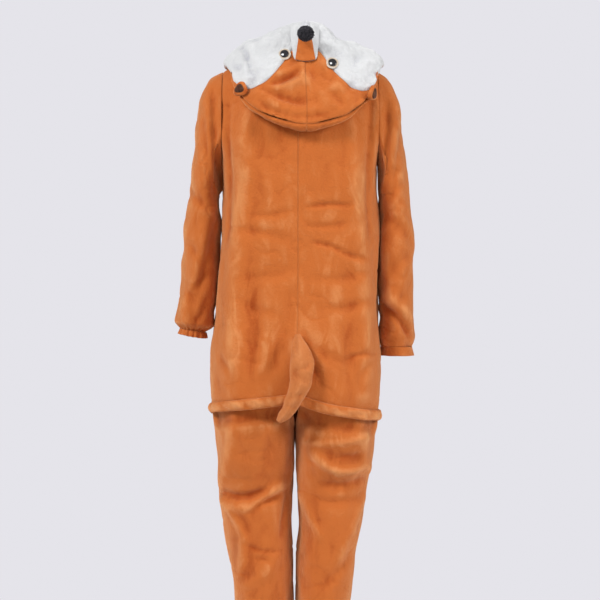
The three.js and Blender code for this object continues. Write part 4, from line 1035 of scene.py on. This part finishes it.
# A rounded disc: a flat or domed middle and an edge that rolls over as a quarter of a superellipse.
def roundedDisc(base, thickness, dome=0.0, dish=0.0):
    def profile(r, a):
        edge = np.clip(1 - r**6, 0, 1) ** 0.5
        return base + thickness * edge + dome * (1 - r**2) - dish * np.exp(-((r / 0.55) ** 2))
    profile.base = base
    return profile


# Each eye is at an angle and a share of the way up the outside. An ear adds its inner patch's half width
# and half height, and the turn of its tip.
eyes = {"left": (21, 0.73), "right": (-26, 0.66)}
eye = {
    "ring": 14, "pupil": 9.5, "thickness": 2, "clear": 1, "glintTurn": -0.7, "glintOut": 0.5, "glintSize": 0.3,
}
ears = {"left": (57, 0.2, 12, 10, -2.6), "right": (-58, 0.12, 7.5, 12, -0.6)}
ear = {"halfWidth": 17.5, "halfHeight": 16.5, "thickness": 7, "inner": 2, "clear": 2}


# A painted highlight on a pupil: a small round of white painted low on one side of it.
def pupilPaintedGlint(r, a):
    dx = r * np.cos(a) - eye["glintOut"] * np.cos(eye["glintTurn"])
    dz = r * np.sin(a) - eye["glintOut"] * np.sin(eye["glintTurn"])
    return 0.5 + 0.5 * smooth((eye["glintSize"] - np.hypot(dx, dz)) / 0.1)


def makeEyesAndEars():
    for name, (at, share) in eyes.items():
        placed = hoodFrame(at, share)
        ring = roundedDisc(eye["clear"], eye["thickness"])
        discPiece(f"eyeRing{name.capitalize()}Felt", f"eye_ring_{name}", looks["ringFelt"],
                  placed, (eye["ring"], eye["ring"]), ring,
                  lambda r, a: 0.35 + 0.5 * smooth((r - 0.6) / 0.3))
        lift = eye["clear"] + eye["thickness"] + cloth["seam"]
        pupil = roundedDisc(lift, eye["thickness"] * 0.7, dome=1.0)
        discPiece(f"pupil{name.capitalize()}Dome", f"pupil_{name}", looks["pupilPlastic"], placed,
                  (eye["pupil"], eye["pupil"]), pupil, pupilPaintedGlint, 40, 96)
    for name, (at, share, width, height, tip) in ears.items():
        placed = hoodFrame(at, share)
        outer = roundedDisc(ear["clear"], ear["thickness"], dome=1.5, dish=2.0)
        piece = discPiece(f"ear{name.capitalize()}Fold", f"ear_{name}", looks["orangePlush"],
                          placed, (ear["halfWidth"], ear["halfHeight"]), outer,
                          lambda r, a: 0.42 + 0.18 * np.sin(3 * a + 1) * r, pointed=0.12, tip=tip)
        lift = ear["clear"] + ear["thickness"] + cloth["seam"]
        inner = roundedDisc(lift, ear["inner"], dome=1.2)
        piece = discPiece(f"innerEar{name.capitalize()}Patch", f"inner_ear_{name}",
                          looks["brownPlush"], placed, (width, height), inner,
                          lambda r, a: 0.5 + 0.2 * np.cos(2 * a) * r, pointed=0.1, tip=tip)


makeSnout()
makeStripe()
makeNose()
makeEyesAndEars()
print("face made")


# Tail.

tail = {
    "row": list(range(8)),
    "x": [1, -3, -9, -7, 4, 18, 33, 43],
    "z": [-637, -662, -698, -733, -768, -798, -819, -830],
    "halfWidth": [6, 17, 27, 25, 20, 16, 12, 6],
    "halfDepth": [5, 10, 14, 15, 14, 12, 9, 5],
    "rise": [6, 14, 21, 26, 28, 27, 23, 20],
}
tailFolds = [
    (2, -650, 22, -690, 3, 8, -3), (-30, -700, 6, -716, 4, 7, -3.4), (14, -720, -24, -748, 3, 8, -3),
    (-12, -764, 22, -776, 3, 7, -3.2), (26, -790, 6, -806, 2, 6, -2.6), (18, -668, -14, -742, 5, 9, 2.6),
]


# The back's y at a place seen from behind, found by halving the range of angles.
def backY(x, z):
    middle = columnAt(body, "z", "seamX", z)
    low, high = np.full(x.shape, pi / 2), np.full(x.shape, pi)
    for _ in range(30):
        angle = (low + high) / 2
        reach = np.where(x >= middle, bodyPoint(1, angle, z, True)[..., 0] - middle,
                         middle - bodyPoint(-1, angle, z, True)[..., 0])
        outside = reach > np.abs(x - middle)
        low, high = np.where(outside, angle, low), np.where(outside, high, angle)
    angle = (low + high) / 2
    left, right = bodyPoint(1, angle, z, True)[..., 1], bodyPoint(-1, angle, z, True)[..., 1]
    return np.where(x >= middle, left, right)


# The tail: ovals along a curved line, each turned across it, with soft lumps and folds.
def makeTail():
    places = np.linspace(0, 7, 110)
    s = {key: columnAt(tail, "row", key, places) for key in tail if key != "row"}
    tilt = np.arctan2(np.gradient(s["x"]), -np.gradient(s["z"]))[:, None]
    y = (backY(s["x"], s["z"]) + s["rise"])[:, None]
    a = np.linspace(0, 2 * pi, 84, endpoint=False)[None, :]
    across = s["halfWidth"][:, None] * np.cos(a)
    deep = s["halfDepth"][:, None] * np.sin(a)
    grid = point(s["x"][:, None] + across * np.cos(tilt), y + deep, s["z"][:, None] + across * np.sin(tilt))
    normals = -gridNormals(grid, True)
    behind = smooth(np.sin(a) * 2)
    height = behind * foldHeight(tailFolds, grid[..., 0], grid[..., 2])
    height = height + 0.55 * softWave(grid, 34, 91) + 0.2 * softWave(grid, 13, 92)
    height = height + 3.2 * behind * np.exp(-((np.cos(a) / 0.3) ** 2))
    height = height * smooth(s["halfWidth"] / 14)[:, None]
    # Painted shade, as on the cloth: paler on ridges, darker and redder in troughs.
    shade = shadeOf(grid, height, True)
    raised = grid + normals * height[..., None]
    mesh = gridMesh("tail", raised, shade, closed=True, flip=True, poles=True)
    piece = addPiece("tailStuffed", "tail", looks["tailPlush"], mesh)


makeTail()
print("tail made")


# Front placket and buttons.

placket = {"halfWidth": 18, "topZ": -104, "bottomZ": -640, "thickness": 2.5}
button = {
    "radius": 9, "thickness": 4, "count": 6, "firstZ": -128, "pitch": 92, "holeOut": 0.3, "holeSize": 0.13,
}


# A strip of the front round its centre line, found by halving shares until x and z agree.
def frontPoint(x, z):
    result = np.zeros(np.broadcast(x, z).shape + (3,))
    x, z = np.broadcast_arrays(x, z)
    for side in (1, -1):
        surface = panelSurface(side, "front", panel["frontYoke"], lambda s: bodyShape["legEnd"])
        s = np.full(x.shape, 0.05)
        v = np.full(x.shape, 0.3)
        for _ in range(5):
            low, high = np.zeros(x.shape), np.ones(x.shape)
            for _ in range(24):
                v = (low + high) / 2
                above = surface(s, v)[..., 2] > z
                low, high = np.where(above, v, low), np.where(above, high, v)
            low, high = np.zeros(x.shape), np.full(x.shape, 0.4)
            for _ in range(24):
                s = (low + high) / 2
                short = side * surface(s, v)[..., 0] < np.abs(x)
                low, high = np.where(short, s, low), np.where(short, high, s)
        here = (x >= 0) if side > 0 else (x < 0)
        result = np.where(here[..., None], surface(s, v), result)
    return result


def makePlacket():
    across = np.linspace(-placket["halfWidth"], placket["halfWidth"], 18)
    down = np.linspace(placket["topZ"], placket["bottomZ"], 150)
    x, z = np.meshgrid(across, down)
    base = frontPoint(x, z)
    lying = bodyRelief(base, "front")
    grid = base + gridNormals(base, False) * (lying + placket["thickness"] + 1.5)[..., None]
    clothPiece("placket", grid, 0.3 * softWave(grid, 22, 95), looks["orangePlush"], 1,
               sewn=("first", "last", "top", "bottom"), thickness=placket["thickness"],
               dip=1.0, dipWidth=2.5)


# A button's face: a raised rim, a dished middle and four holes, with their place in the shade value, by
# which the holes are painted dark as painted shade.
def buttonProfile(base):
    def holes(r, a):
        near = [np.hypot(r * np.cos(a) - button["holeOut"] * i, r * np.sin(a) - button["holeOut"] * j)
                for i in (-1, 1) for j in (-1, 1)]
        return smooth((button["holeSize"] * 1.25 - np.minimum.reduce(near)) / 0.06)

    def profile(r, a):
        rim = 0.8 * np.exp(-(((r - 0.82) / 0.12) ** 2))
        edge = np.clip(1 - r**8, 0, 1) ** 0.5
        return base + (button["thickness"] - 1.4) * edge + rim * edge - 2.0 * holes(r, a)

    profile.base = base
    profile.holes = holes
    return profile


def makeButtons():
    for k in range(button["count"]):
        z = button["firstZ"] - button["pitch"] * k
        near = frontPoint(np.array([[-3.0, 3.0], [-3.0, 3.0]]), np.array([[z + 3, z + 3], [z - 3, z - 3]]))
        across, rise = unit(near[0, 1] - near[0, 0]), unit(near[0, 0] - near[1, 0])
        normal = unit(np.cross(across, rise))
        lying = float(bodyRelief(near.mean(axis=(0, 1))[None, None], "front")[0, 0])
        placed = (near.mean(axis=(0, 1)), normal, across, rise)
        face = buttonProfile(max(lying, -1) + placket["thickness"] + 2.0)
        discPiece(f"button{k + 1}Moulded", f"button_{k + 1}", looks["buttonPlastic"], placed,
                  (button["radius"], button["radius"]), face,
                  lambda r, a: 0.5 + 0.5 * face.holes(r, a), 34, 96)


makePlacket()
makeButtons()
print("placket and buttons made")


# Floor, light and camera.

studio = {
    "floorZ": -1.471, "floorRadius": 1.22, "background": (0.783, 0.775, 0.822), "worldStrength": 0.46,
    "cameraPlace": (-0.0046, 4.0, -0.561), "lens": 104.3,
}
lamps = [  # name, place, aim, size, watts
    ("keyLamp", (2.4, 2.4, 1.8), (0, 0, -0.5), 1.1, 112),
    ("fillLamp", (-3.0, 1.6, 0.9), (0, 0, -0.6), 1.2, 74),
    ("frontLamp", (0.4, -3.4, 1.6), (0, 0, -0.5), 2.4, 70),
]


def makeStudio():
    a = np.linspace(0, 2 * pi, 96, endpoint=False)
    r = np.linspace(0.02, 1, 24)[:, None]
    grid = point(r * np.cos(a), r * np.sin(a), np.zeros((24, 96))) * studio["floorRadius"] / metre
    grid[..., 2] = studio["floorZ"] / metre
    mesh = gridMesh("floor", grid, np.zeros((24, 96)), closed=True, flip=True)
    floor = bpy.data.objects.new("studioFloor", mesh)
    bpy.context.scene.collection.objects.link(floor)
    material, tree, shader = newMaterial("floorPaper")
    where = addNode(tree, "ShaderNodeTexCoord", (-900, 0)).outputs["Object"]
    grain = addNoise(tree, where, 60, 3, 0.5, (-700, 0))
    tint = addNode(tree, "ShaderNodeMix", (-400, 0), data_type="RGBA")
    tint.inputs[6].default_value = (0.80, 0.79, 0.83, 1)
    tint.inputs[7].default_value = (0.83, 0.82, 0.86, 1)
    tree.links.new(grain, tint.inputs["Factor"])
    tree.links.new(tint.outputs[2], shader.inputs["Base Color"])
    shader.inputs["Roughness"].default_value = 0.9
    mesh.materials.append(material)


def makeWorld():
    world = bpy.data.worlds.new("studioWorld")
    bpy.context.scene.world = world
    world.use_nodes = True
    tree = world.node_tree
    light = tree.nodes["Background"]
    light.inputs["Color"].default_value = (1, 1, 1, 1)
    light.inputs["Strength"].default_value = studio["worldStrength"]
    seen = addNode(tree, "ShaderNodeBackground", (0, -200))
    seen.inputs["Color"].default_value = (*studio["background"], 1)
    rays = addNode(tree, "ShaderNodeLightPath", (-200, 300))
    blend = addNode(tree, "ShaderNodeMixShader", (250, 100))
    tree.links.new(rays.outputs["Is Camera Ray"], blend.inputs[0])
    tree.links.new(light.outputs[0], blend.inputs[1])
    tree.links.new(seen.outputs[0], blend.inputs[2])
    tree.links.new(blend.outputs[0], tree.nodes["World Output"].inputs[0])


def makeLamps():
    for name, place, aim, size, watts in lamps:
        data = bpy.data.lights.new(name, "AREA")
        data.size = size
        data.energy = watts
        lamp = bpy.data.objects.new(name, data)
        lamp.location = place
        lamp.rotation_euler = (Vector(aim) - Vector(place)).to_track_quat("-Z", "Y").to_euler()
        bpy.context.scene.collection.objects.link(lamp)


def makeCamera():
    data = bpy.data.cameras.new("studioCamera")
    data.lens = studio["lens"]
    data.sensor_width = 36
    camera = bpy.data.objects.new("studioCamera", data)
    camera.location = studio["cameraPlace"]
    camera.rotation_euler = (pi / 2, 0, pi)
    bpy.context.scene.collection.objects.link(camera)
    bpy.context.scene.camera = camera
    bpy.context.scene.view_settings.view_transform = "Standard"


makeStudio()
makeWorld()
makeLamps()
makeCamera()
print("studio made")
